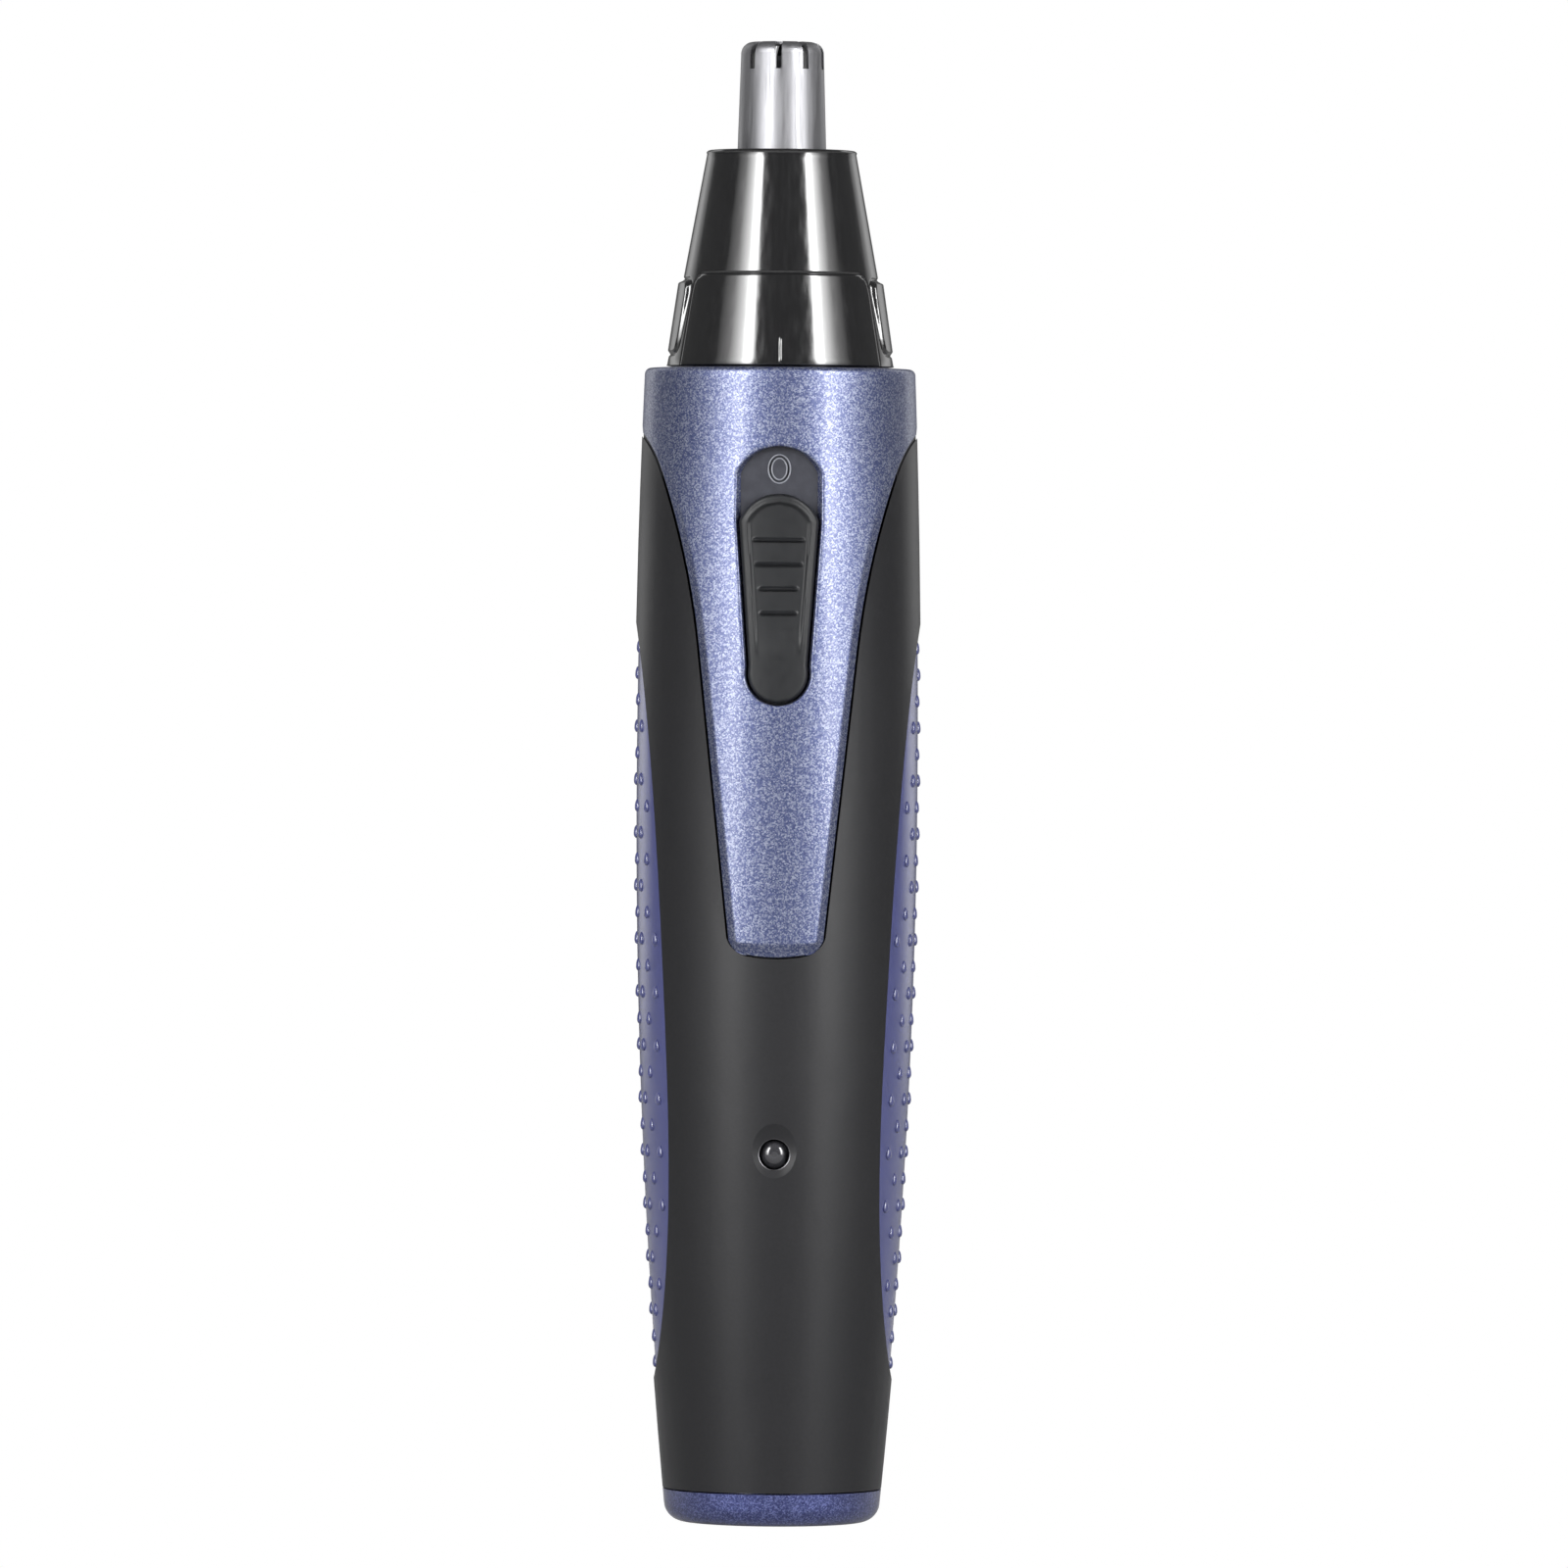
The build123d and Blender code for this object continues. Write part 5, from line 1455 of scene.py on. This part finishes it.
# ------------------------------------------------------------------------------ the head's cone
@dataclass
class HeadCone:
    """The gloss cone: a lower front and rear panel, side finger pads and a lining mark."""

    low: float = 117.1
    high: float = 139.0
    low_radius: float = 11.6
    high_radius: float = 7.6
    top_edge: float = 0.4
    top_rings: int = 5
    top_start: float = 10.0
    tube_lip: tuple[float, float] = (0.06, 0.05)
    foot_chamfer: float = 0.1
    foot_flat: float = 0.16
    foot_round: tuple[float, float] = (0.05, 0.04)
    ledge_height: float = 126.3
    panel_half_angle: float = 61.0
    panel_corner: float = 1.6
    panel_step: float = 0.1
    panel_overrun: float = 8.0
    panel_edge: tuple[float, float] = (-0.06, 0.16)
    panel_groove: float = 0.08
    groove_half_width: float = 0.13
    groove_depth: float = 0.14
    pad_low: float = 118.4
    pad_high: float = 125.8
    pad_half_width: float = 4.4
    pad_corner: float = 1.0
    pad_proud: float = 0.35
    pad_foot_proud: float = 0.08
    pad_edge: float = 0.32
    pad_groove: float = 0.14
    mark_low: float = 117.3
    mark_high: float = 119.9
    mark_half_width: float = 0.09
    mark_proud: float = 0.07
    mark_edge: tuple[float, float] = (0.4, 1.6)
    mark_reach: float = 5.0
    bore_radius: float = 8.75
    bore_top: float = 123.9
    cavity_radius: float = 7.4
    cavity_top: float = 128.35
    tube_radius: float = 4.55
    lug_low: float = 118.7
    lug_high: float = 120.1
    lug_radius: float = 7.55
    lug_half_angle: float = 10.0
    lug_root: float = 0.3
    lug_step: float = 4.0

    def cone_radius(self, height: float) -> float:
        """The plain cone's radius at a height."""
        share = (height - self.low) / (self.high - self.low)
        return self.low_radius + (self.high_radius - self.low_radius) * share

    def relief(self, angle: float, height: float) -> float:
        """How far the surface stands out from the plain cone.

        Args:
            angle: Degrees from the front, positive to the right.
            height: The height above the foot.

        Returns:
            Millimetres outwards, negative in a groove.
        """
        radius = self.cone_radius(height)
        folded = abs((angle + 180) % 360 - 180)
        from_front = min(folded, 180 - folded)
        # The lower panels run past the skirt's edge, so only their tops and sides show.
        reach = self.ledge_height - self.low + self.panel_overrun
        across = math.radians(from_front) * radius
        half = math.radians(self.panel_half_angle) * radius
        up = height - (self.ledge_height - reach / 2)
        panel = rounded_box(across, up, half, reach / 2, self.panel_corner)
        lift = -self.panel_step * smoothstep(*self.panel_edge, panel)
        lift -= self.groove_depth * math.exp(-(((panel - self.panel_groove) / self.groove_half_width) ** 2))
        # The finger pads slope outwards from foot to top.
        to_side = math.radians(90 - from_front) * radius
        middle = (self.pad_low + self.pad_high) / 2
        pad = rounded_box(
            to_side, height - middle, self.pad_half_width, (self.pad_high - self.pad_low) / 2, self.pad_corner
        )
        share = (height - self.pad_low) / (self.pad_high - self.pad_low)
        proud = self.pad_foot_proud + (self.pad_proud - self.pad_foot_proud) * min(max(share, 0), 1)
        lift += (proud + self.panel_step) * smoothstep(0.0, -self.pad_edge, pad)
        lift -= self.groove_depth * math.exp(-(((pad - self.pad_groove) / self.groove_half_width) ** 2))
        # The lining mark is at the front only.
        if self.mark_low < height < self.mark_high and folded < self.mark_reach:
            full, gone = (self.mark_half_width * edge for edge in self.mark_edge)
            lift += self.mark_proud * (1 - smoothstep(full, gone, across))
        return lift

    def angles(self) -> list[float]:
        """Columns of the mesh: close together where the relief is fine.

        Returns:
            Degrees from the front.
        """
        quarter = merged(
            steps(0, 3, 0.25), steps(3, 57, 3), steps(57, 71, 0.45), steps(71, 90, 2.4), gap=0.05
        )
        half = merged(quarter, [180 - angle for angle in quarter], gap=0.05)
        return merged(half, [-angle for angle in half if 0 < angle < 180], gap=0.05)

    def heights(self) -> list[float]:
        """Rows of the mesh: close together at the ledge, the pads' ends and the mark's ends.

        Returns:
            The heights above the foot.
        """
        return merged(
            steps(self.low + 0.15, self.high - self.top_edge, 0.55),
            steps(self.ledge_height - 0.5, self.ledge_height + 0.6, 0.055),
            steps(self.pad_low - 0.4, self.pad_low + 0.5, 0.09),
            steps(self.pad_high - 0.5, self.pad_high + 0.3, 0.09),
            gap=0.03,
        )

    def build(self, palette: Palette) -> None:
        """Builds the cone with its bore, cavity and bayonet lugs.

        Args:
            palette: The trimmer's finishes.
        """
        angles = self.angles()
        points: list[Point] = []
        tube_top = self.high - self.tube_lip[1]
        profile = (
            (self.tube_radius, tube_top),
            (self.tube_radius, self.cavity_top),
            (self.cavity_radius, self.cavity_top),
            (self.cavity_radius, self.bore_top),
            (self.bore_radius, self.bore_top),
            (self.bore_radius, self.low + self.foot_chamfer),
            (self.bore_radius + self.foot_chamfer, self.low),
            (self.low_radius - self.foot_flat, self.low),
            (self.low_radius - self.foot_round[0], self.low + self.foot_round[1]),
        )
        # Each ring has a radius for every angle, and a height.
        rings = [([radius] * len(angles), height) for radius, height in profile]
        for height in self.heights():
            plain = self.cone_radius(height)
            rings.append(([plain + self.relief(angle, height) for angle in angles], height))
        top = self.high - self.top_edge
        shoulder = self.cone_radius(top)
        for index in range(1, self.top_rings + 1):
            turn = math.radians((90 - self.top_start) * index / self.top_rings + self.top_start)
            radius = shoulder - self.top_edge * (1 - math.cos(turn))
            rings.append(([radius] * len(angles), top + self.top_edge * math.sin(turn)))
        rings.append(([self.tube_radius + self.tube_lip[0]] * len(angles), self.high))
        rings.append(([self.tube_radius] * len(angles), tube_top))
        for radii, height in rings:
            for radius, angle in zip(radii, angles):
                turn = math.radians(angle)
                points.append((radius * math.sin(turn), -radius * math.cos(turn), height))
        faces = grid_faces(len(rings), len(angles), wrap=True)
        for middle in (90, 270):
            self.add_lug(points, faces, middle)
        cone = new_piece("gloss_cone", points, faces, sharp=38)
        palette.cover(cone, "polished_polystyrene")
        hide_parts("head_cone")
        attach(cone, "head")
        LOG.info("built %s with %d faces", cone.name, len(cone.data.polygons))

    def add_lug(self, points: list[Point], faces: list[Face], middle: float) -> None:
        """Adds one bayonet lug, rooted in the bore's wall, at an angle from the front.

        Args:
            points: The cone's points, which the lug's are added to.
            faces: The cone's faces, which the lug's are added to.
            middle: The lug's middle in degrees from the front.
        """
        first = len(points)
        outer = self.bore_radius + self.lug_root
        ring = [
            (self.lug_radius, self.lug_low),
            (outer, self.lug_low),
            (outer, self.lug_high),
            (self.lug_radius, self.lug_high),
        ]
        columns = steps(middle - self.lug_half_angle, middle + self.lug_half_angle, self.lug_step)
        for angle in columns:
            turn = math.radians(angle)
            points += [(r * math.sin(turn), -r * math.cos(turn), z) for r, z in ring]
        faces += grid_faces(len(columns), 4, first=first, wrap=True)
        faces.append(tuple(first + index for index in range(4)))
        last = first + 4 * (len(columns) - 1)
        faces.append(tuple(last + index for index in range(4)))


# ---------------------------------------------------------------------------- the thumb switch
@dataclass
class ThumbSwitch:
    """The sliding button: a dished pad with four raised ribs, and what it carries inside."""

    low: float = 83.05
    top: float = 104.1
    shoulder: float = 101.35
    half_width: float = 4.01
    knee_height: float = 86.7
    knee_half_width: float = 2.95
    surface_radius: float = 14.75
    back: float = 12.97
    edge_radius: float = 0.4
    pad_inset: float = 0.95
    pad_low: float = 88.2
    pad_depth: float = 0.24
    pad_edge: tuple[float, float] = (0.18, 0.16)
    pad_fade: tuple[float, float] = (0.8, 3.0)
    pad_hollow: float = 0.25
    hollow_reach: tuple[float, float] = (1.0, 3.0)
    lip_proud: float = 0.06
    lip_inset: float = 0.2
    lip_width: float = 0.16
    rib_lengths: tuple[float, ...] = (3.7, 3.9, 4.8, 5.2)
    rib_start: float = 92.1
    rib_pitch: float = 2.45
    rib_half_width: float = 0.24
    rib_proud: float = 0.3
    rib_root: float = 0.12
    rib_edge: tuple[float, float] = (0.05, -0.26)
    stem_half_width: float = 1.7
    stem_low: float = 91.0
    stem_high: float = 97.0
    stem_back: float = 9.774
    stem_root: float = 0.1
    # The mesh's rows, which stand closer together from rib_rows' first height to its second.
    ROWS: ClassVar[int] = 150
    COLUMNS: ClassVar[int] = 56
    END_GAP: ClassVar[float] = 0.001
    rib_rows: tuple[float, float, float] = (91.2, 100.4, 0.11)

    def outline_half_width(self, height: float) -> float:
        """Half the button's width at a height.

        Args:
            height: The height above the foot.

        Returns:
            Half the width in millimetres.
        """
        if height >= self.shoulder:
            rise = self.top - self.shoulder
            radius = (self.half_width**2 + rise**2) / (2 * rise)
            return math.sqrt(max(radius**2 - (height - self.top + radius) ** 2, 0.0))
        if height >= self.knee_height:
            share = (height - self.knee_height) / (self.shoulder - self.knee_height)
            return self.knee_half_width + (self.half_width - self.knee_half_width) * share
        drop = self.knee_height - self.low
        radius = (self.knee_half_width**2 + drop**2) / (2 * drop)
        return math.sqrt(max(radius**2 - (self.low + radius - height) ** 2, 0.0))

    def surface(self, across: float, height: float, rim: float) -> float:
        """How far the button's face stands out from the axis.

        Args:
            across: The distance from the middle line.
            height: The height above the foot.
            rim: The distance to the button's outline.

        Returns:
            The distance towards the front in millimetres.
        """
        out = math.sqrt(self.surface_radius**2 - across**2)
        fade = smoothstep(self.pad_low - self.pad_fade[0], self.pad_low + self.pad_fade[1], height)
        dish = smoothstep(self.pad_inset - self.pad_edge[0], self.pad_inset + self.pad_edge[1], rim) * fade
        lip = math.exp(-(((rim - self.pad_inset + self.lip_inset) / self.lip_width) ** 2)) * fade
        hollow = 1 + self.pad_hollow * smoothstep(*self.hollow_reach, rim)
        out += self.lip_proud * lip - self.pad_depth * dish * hollow
        if rim < self.edge_radius:
            inner = self.edge_radius - rim
            out -= self.edge_radius - math.sqrt(max(self.edge_radius**2 - inner**2, 0.0))
        for index, length in enumerate(self.rib_lengths):
            rise = height - self.rib_start - index * self.rib_pitch
            away = rounded_box(across, rise, length / 2, self.rib_half_width, self.rib_half_width)
            out += (self.rib_proud + self.rib_root) * smoothstep(*self.rib_edge, away)
        return min(out, self.surface_radius + self.rib_proud)

    def build(self, palette: Palette) -> None:
        """Builds the button and dresses what it carries.

        Args:
            palette: The trimmer's finishes.
        """
        # The rows close up towards the two ends, where the outline turns.
        rows = [
            self.low + (self.top - self.low) * (0.5 - 0.5 * math.cos(math.pi * (0.02 + 0.96 * i / self.ROWS)))
            for i in range(self.ROWS + 1)
        ]
        ends = ([self.low + self.END_GAP], [self.top - self.END_GAP])
        rows = merged(*ends, rows, steps(*self.rib_rows), gap=0.04)
        side = [(self.outline_half_width(height), height) for height in steps(self.low, self.top, 0.25)]
        outline = side + [(-across, height) for across, height in side[::-1]]
        columns = [math.sin(math.pi / 2 * share) for share in steps(-1, 1, 2 / self.COLUMNS)]
        points: list[Point] = []
        for height in rows:
            half = self.outline_half_width(height)
            points.append((-half, -self.back, height))
            for share in columns:
                across = half * share
                rim = edge_distance((across, height), outline)
                points.append((across, -self.surface(across, height, rim), height))
            points.append((half, -self.back, height))
        width = len(columns) + 2
        faces = grid_faces(len(rows), width)
        # The back closes the button, row by row, and the two ends close with their own strips.
        for row in range(len(rows) - 1):
            faces.append((row * width, (row + 1) * width, (row + 2) * width - 1, (row + 1) * width - 1))
        faces.append(tuple(range(width)))
        faces.append(tuple((len(rows) - 1) * width + index for index in range(width)))
        first = len(points)
        for height in (self.stem_low, self.stem_high):
            points += [
                (-self.stem_half_width, -self.back - self.stem_root, height),
                (self.stem_half_width, -self.back - self.stem_root, height),
                (self.stem_half_width, -self.stem_back, height),
                (-self.stem_half_width, -self.stem_back, height),
            ]
        faces += grid_faces(2, 4, first=first, wrap=True)
        faces += [tuple(first + index for index in range(4)), tuple(first + 4 + index for index in range(4))]
        button = new_piece("thumb_button", points, faces, sharp=48)
        palette.cover(button, "spark_finish_abs")
        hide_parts("switch_button")
        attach(button, "switch")
        LOG.info("built %s with %d faces", button.name, len(button.data.polygons))
        palette.dress("switch_carrier", "white_acetal")
        palette.dress("switch_bridge", "enamelled_copper_wire")


# ------------------------------------------------------------------------ other sub-assemblies
@dataclass
class Handle:
    """The outer shells, the slot's floor, the end cap, the neck and the lamp."""

    lamp_height: float = 37.7
    lamp_ring_radius: float = 1.62
    lamp_ring_wire: float = 0.09
    lamp_ring_setback: float = 0.5
    mark_face: float = 12.895
    mark_height: float = 106.6
    mark_half: tuple[float, float] = (0.93, 1.25)
    mark_stroke: float = 0.35
    mark_wire: float = 0.07
    bead_flatness: float = 0.6
    lip_low: float = 102.5
    lip_high: float = 111.6
    lip_half_angle: float = 32.0
    lip_inset: float = 0.15
    lip_wall: float = 0.5

    def dress(self, palette: Palette) -> None:
        """Gives each CAD shell its finish.

        Args:
            palette: The trimmer's finishes.
        """
        for node, finish in (
            ("front_housing", "soft_touch_lacquer"),
            ("rear_housing", "soft_touch_lacquer"),
            ("bottom_cap", "blue_cap_paint"),
            ("switch_plate", "dusty_abs"),
            ("neck", "glass_filled_nylon"),
            ("housing_screws", "zinc_plated_steel"),
            ("charge_led", "smoked_epoxy"),
        ):
            palette.dress(node, finish)

    def bead(
        self, half: tuple[float, float], wire: float, out: float, height: float
    ) -> tuple[list[Point], list[Face]]:
        """Makes a thin bead round an oval on the front.

        Args:
            half: The oval's half-width and half-height.
            wire: The bead's own radius.
            out: How far in front of the axis it lies.
            height: The oval's middle.

        Returns:
            The bead's points and faces.
        """
        around, across = 64, 12
        points = []
        for column in range(around):
            turn = 2 * math.pi * column / around
            for row in range(across):
                tilt = 2 * math.pi * row / across
                grow = wire * math.cos(tilt)
                points.append(
                    (
                        (half[0] + grow) * math.cos(turn),
                        -out - wire * self.bead_flatness * math.sin(tilt),
                        height + (half[1] + grow) * math.sin(turn),
                    )
                )
        faces = grid_faces(around, across, wrap=True)
        last = (around - 1) * across
        faces += [(last + r, last + (r + 1) % across, (r + 1) % across, r) for r in range(across)]
        return points, faces

    def build(self, palette: Palette) -> None:
        """Builds the pale ring round the lamp's hole and the pale beads on the off mark's edges, both painted
        highlights, and the seam's lips.

        Args:
            palette: The trimmer's finishes.
        """
        # Painted highlight: a pale metal ring stands where the edge of the lamp's hole catches the light.
        out = FORM.side_radius(self.lamp_height) - self.lamp_ring_setback
        radius = self.lamp_ring_radius
        points, faces = self.bead((radius, radius), self.lamp_ring_wire, out, self.lamp_height)
        rim = new_piece("lamp_rim", points, faces)
        palette.cover(rim, "black_nickel")
        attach(rim, "handle")
        LOG.info("built %s", rim.name)
        # Painted highlight: pale beads along both edges of the off mark's stroke stand for the light those
        # edges catch.
        points, faces = [], []
        for grow in (self.mark_stroke / 2, -self.mark_stroke / 2):
            half = (self.mark_half[0] + grow, self.mark_half[1] + grow)
            more, links = self.bead(half, self.mark_wire, self.mark_face, self.mark_height)
            faces += [tuple(index + len(points) for index in link) for link in links]
            points += more
        mark = new_piece("off_mark_edges", points, faces)
        palette.cover(mark, "edge_highlight_abs")
        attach(mark, "handle")
        LOG.info("built %s", mark.name)
        for side in (-1, 1):
            lip = self.seam_lip(side)
            palette.cover(lip, "glass_filled_nylon")
            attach(lip, "handle")
            LOG.info("built %s", lip.name)

    def seam_lip(self, side: int) -> bpy.types.Object:
        """Builds the lip that stands behind the seam between the collar and the housing.

        Args:
            side: -1 for the left and 1 for the right.

        Returns:
            The lip, a curved bar within the two walls.
        """
        levels = steps(self.lip_low, self.lip_high, 0.9)
        turns = steps(-self.lip_half_angle, self.lip_half_angle, 4.0)
        points: list[Point] = []
        for turn in turns:
            across, deep = side * math.cos(math.radians(turn)), math.sin(math.radians(turn))
            inner = self.lip_inset + self.lip_wall
            ring = [(FORM.side_radius(level, self.lip_inset), level) for level in levels]
            ring += [(FORM.side_radius(level, inner), level) for level in levels[::-1]]
            points += [(radius * across, radius * deep, level) for radius, level in ring]
        around = 2 * len(levels)
        faces = grid_faces(len(turns), around, wrap=True)
        faces += [tuple(range(around)), tuple((len(turns) - 1) * around + index for index in range(around))]
        return new_piece("left_seam_lip" if side < 0 else "right_seam_lip", points, faces)


@dataclass
class PowerUnit:
    """The cell, the charging board, the socket, the switch's contacts and the leads."""

    def dress(self, palette: Palette) -> None:
        """Gives each CAD node its finish.

        Args:
            palette: The trimmer's finishes.
        """
        for node, finish in (
            ("battery_cell", "shrink_film"),
            ("battery_tags", "zinc_plated_steel"),
            ("circuit_board", "solder_masked_board"),
            ("board_parts", "glass_filled_nylon"),
            ("charge_socket", "glass_filled_nylon"),
            ("switch_contacts", "enamelled_copper_wire"),
            ("red_leads", "red_silicone_sleeve"),
            ("black_leads", "black_silicone_sleeve"),
        ):
            palette.dress(node, finish)


@dataclass
class Motor:
    """The motor's still parts and its armature."""

    def dress(self, palette: Palette) -> None:
        """Gives each CAD node its finish.

        Args:
            palette: The trimmer's finishes.
        """
        for node, finish in (
            ("motor_can", "zinc_plated_steel"),
            ("motor_magnets", "sintered_ferrite"),
            ("motor_end_cap", "glass_filled_nylon"),
            ("motor_brushes", "enamelled_copper_wire"),
            ("motor_bearings", "sintered_bronze"),
            ("motor_screws", "zinc_plated_steel"),
            ("shaft_seal", "nitrile_rubber"),
            ("motor_shaft", "ground_stainless_steel"),
            ("armature_core", "zinc_plated_steel"),
            ("armature_windings", "enamelled_copper_wire"),
            ("commutator", "enamelled_copper_wire"),
            ("drive_coupler", "white_acetal"),
        ):
            palette.dress(node, finish)


@dataclass
class CuttingHead:
    """The guard tube, the ring that holds it, and the blade with its stem and spring."""

    def dress(self, palette: Palette) -> None:
        """Gives each CAD node its finish.

        Args:
            palette: The trimmer's finishes.
        """
        for node, finish in (
            ("guard_tube", "drawn_stainless_steel"),
            ("tube_ring", "glass_filled_nylon"),
            ("blade_retainer", "white_acetal"),
            ("blade_stem", "white_acetal"),
            ("inner_blade", "ground_stainless_steel"),
            ("blade_spring", "zinc_plated_steel"),
        ):
            palette.dress(node, finish)


# ---------------------------------------------------------------------------------- the studio
@dataclass(frozen=True)
class StripLight:
    """An upright softbox that is brightest near the edge by the camera and fades outwards."""

    bearing: float
    width: float
    power: float
    fall: tuple[tuple[float, float], ...]
    length: float = 1.3
    distance: float = 1.0
    height: float = 0.25
    dim_below: float = 0.08
    full_above: float = 0.34
    dimmed: float = 0.5

    def build(self, name: str) -> None:
        """Builds the softbox under a name.

        Args:
            name: The name of the lamp.
        """
        data = bpy.data.lights.new(name, "AREA")
        data.shape = "RECTANGLE"
        data.size, data.size_y, data.energy = self.width, self.length, self.power
        data.use_nodes = True
        tree = data.node_tree
        tree.nodes.clear()
        spot = add_node(
            tree, "ShaderNodeSeparateXYZ", {0: add_node(tree, "ShaderNodeNewGeometry").outputs["Parametric"]}
        )
        ramp = add_node(tree, "ShaderNodeValToRGB", {0: spot.outputs["X"]})
        stops = ramp.color_ramp.elements
        while len(stops) < len(self.fall):
            stops.new(1.0)
        for stop, (place, level) in zip(stops, self.fall):
            stop.position, stop.color = place, (level, level, level, 1.0)
        level = add_node(
            tree, "ShaderNodeSeparateXYZ", {0: add_node(tree, "ShaderNodeNewGeometry").outputs["Position"]}
        )
        rise = add_node(
            tree,
            "ShaderNodeMapRange",
            {
                "Value": level.outputs["Z"],
                "From Min": self.dim_below,
                "From Max": self.full_above,
                "To Min": self.dimmed,
                "To Max": 1.0,
            },
        )
        glow = add_node(
            tree, "ShaderNodeEmission", {"Color": ramp.outputs["Color"], "Strength": rise.outputs["Result"]}
        )
        add_node(tree, "ShaderNodeOutputLight", {"Surface": glow.outputs[0]})
        turn = math.radians(self.bearing)
        place = Vector((self.distance * math.sin(turn), -self.distance * math.cos(turn), self.height))
        lamp = bpy.data.objects.new(name, data)
        facing = (Vector((0, 0, self.height)) - place).to_track_quat("-Z", "Y")
        lamp.matrix_world = Matrix.Translation(place) @ facing.to_matrix().to_4x4()
        lamp.visible_camera = False
        bpy.context.scene.collection.objects.link(lamp)


@dataclass
class Studio:
    """The pale floor that curves up behind, the softboxes and the camera, all in metres."""

    camera_distance: float = 1.383
    camera_height: float = 0.0916
    aim: tuple[float, float, float] = (0.0007, 0.0, 0.0748)
    lens: float = 313.0
    sensor: float = 36.0
    roll: float = 0.43
    world_light: float = 0.2
    paper_half_width: float = 4.0
    paper_front: float = -3.0
    paper_back: float = 3.0
    paper_rise: float = 3.0
    paper_bend: float = 0.8
    paper_steps: int = 12
    lights: tuple[StripLight, ...] = (
        StripLight(
            -49.0, 0.77, 95.0, ((0.0, 0.01), (0.35, 0.06), (0.7, 0.35), (0.83, 1.0), (0.93, 0.9), (1.0, 0.1))
        ),
        StripLight(
            56.0, 0.73, 95.0, ((0.0, 0.1), (0.07, 0.9), (0.17, 1.0), (0.3, 0.35), (0.65, 0.06), (1.0, 0.01))
        ),
        # The two behind draw the pale lines down the sides, and light the back.
        StripLight(-142.0, 0.6, 3.4, ((0.0, 0.3), (0.5, 1.0), (1.0, 0.3)), dimmed=0.8),
        StripLight(142.0, 0.6, 3.4, ((0.0, 0.3), (0.5, 1.0), (1.0, 0.3)), dimmed=0.8),
    )

    def backdrop(self) -> None:
        """Builds the floor and the wall behind as one swept sheet."""
        material = bpy.data.materials.new("white_paper")
        material.use_nodes = True
        tree = material.node_tree
        tree.nodes.clear()
        seen = add_node(tree, "ShaderNodeLightPath").outputs["Is Camera Ray"]
        paper = add_node(tree, "ShaderNodeBsdfDiffuse", {"Color": linear("#B8B8B8")})
        bright = add_node(tree, "ShaderNodeEmission", {"Color": (1.0, 1.0, 1.0, 1.0), "Strength": 1.0})
        mixed = add_node(tree, "ShaderNodeMixShader", {0: seen, 1: paper.outputs[0], 2: bright.outputs[0]})
        add_node(tree, "ShaderNodeOutputMaterial", {"Surface": mixed.outputs[0]})
        mesh = bpy.data.meshes.new("paper_sweep")
        start, bend = self.paper_back - self.paper_bend, self.paper_bend
        profile = [(self.paper_front, 0.0), (start, 0.0)]
        for index in range(1, self.paper_steps + 1):
            turn = math.pi / 2 * index / self.paper_steps
            profile.append((start + bend * math.sin(turn), bend * (1 - math.cos(turn))))
        profile.append((self.paper_back, self.paper_rise))
        points = [(x, y, z) for y, z in profile for x in (-self.paper_half_width, self.paper_half_width)]
        mesh.from_pydata(points, [], grid_faces(len(profile), 2))
        mesh.materials.append(material)
        sweep = bpy.data.objects.new("paper_sweep", mesh)
        bpy.context.scene.collection.objects.link(sweep)

    def build(self) -> None:
        """Builds the whole studio."""
        scene = bpy.context.scene
        scene.view_settings.view_transform = "Standard"
        world = bpy.data.worlds.new("studio")
        world.use_nodes = True
        tree = world.node_tree
        tree.nodes.clear()
        white = (1.0, 1.0, 1.0, 1.0)
        around = add_node(tree, "ShaderNodeBackground", {"Color": white, "Strength": self.world_light})
        beyond = add_node(tree, "ShaderNodeBackground", {"Color": white, "Strength": 1.0})
        seen = add_node(tree, "ShaderNodeLightPath").outputs["Is Camera Ray"]
        mixed = add_node(tree, "ShaderNodeMixShader", {0: seen, 1: around.outputs[0], 2: beyond.outputs[0]})
        add_node(tree, "ShaderNodeOutputWorld", {"Surface": mixed.outputs[0]})
        scene.world = world
        self.backdrop()
        for light, side in zip(self.lights, ("left", "right", "rear_left", "rear_right")):
            light.build(f"{side}_softbox")
        data = bpy.data.cameras.new("camera")
        data.lens, data.sensor_width = self.lens, self.sensor
        camera = bpy.data.objects.new("camera", data)
        place = Vector((self.aim[0], -self.camera_distance, self.camera_height))
        facing = (Vector(self.aim) - place).to_track_quat("-Z", "Y").to_matrix().to_4x4()
        camera.matrix_world = (
            Matrix.Translation(place) @ facing @ Matrix.Rotation(math.radians(self.roll), 4, "Z")
        )
        scene.collection.objects.link(camera)
        scene.camera = camera


def main() -> None:
    """Builds and dresses each sub-assembly in order."""
    logging.basicConfig(level=logging.INFO, format="%(name)s: %(message)s")
    palette = Palette()
    handle = Handle()
    handle.dress(palette)
    handle.build(palette)
    TopSleeve().build(palette)
    SideGrips().build(palette)
    ThumbSwitch().build(palette)
    PowerUnit().dress(palette)
    Motor().dress(palette)
    HeadCone().build(palette)
    CuttingHead().dress(palette)
    Studio().build()
    bpy.context.view_layer.update()


if __name__ == "__main__":
    main()
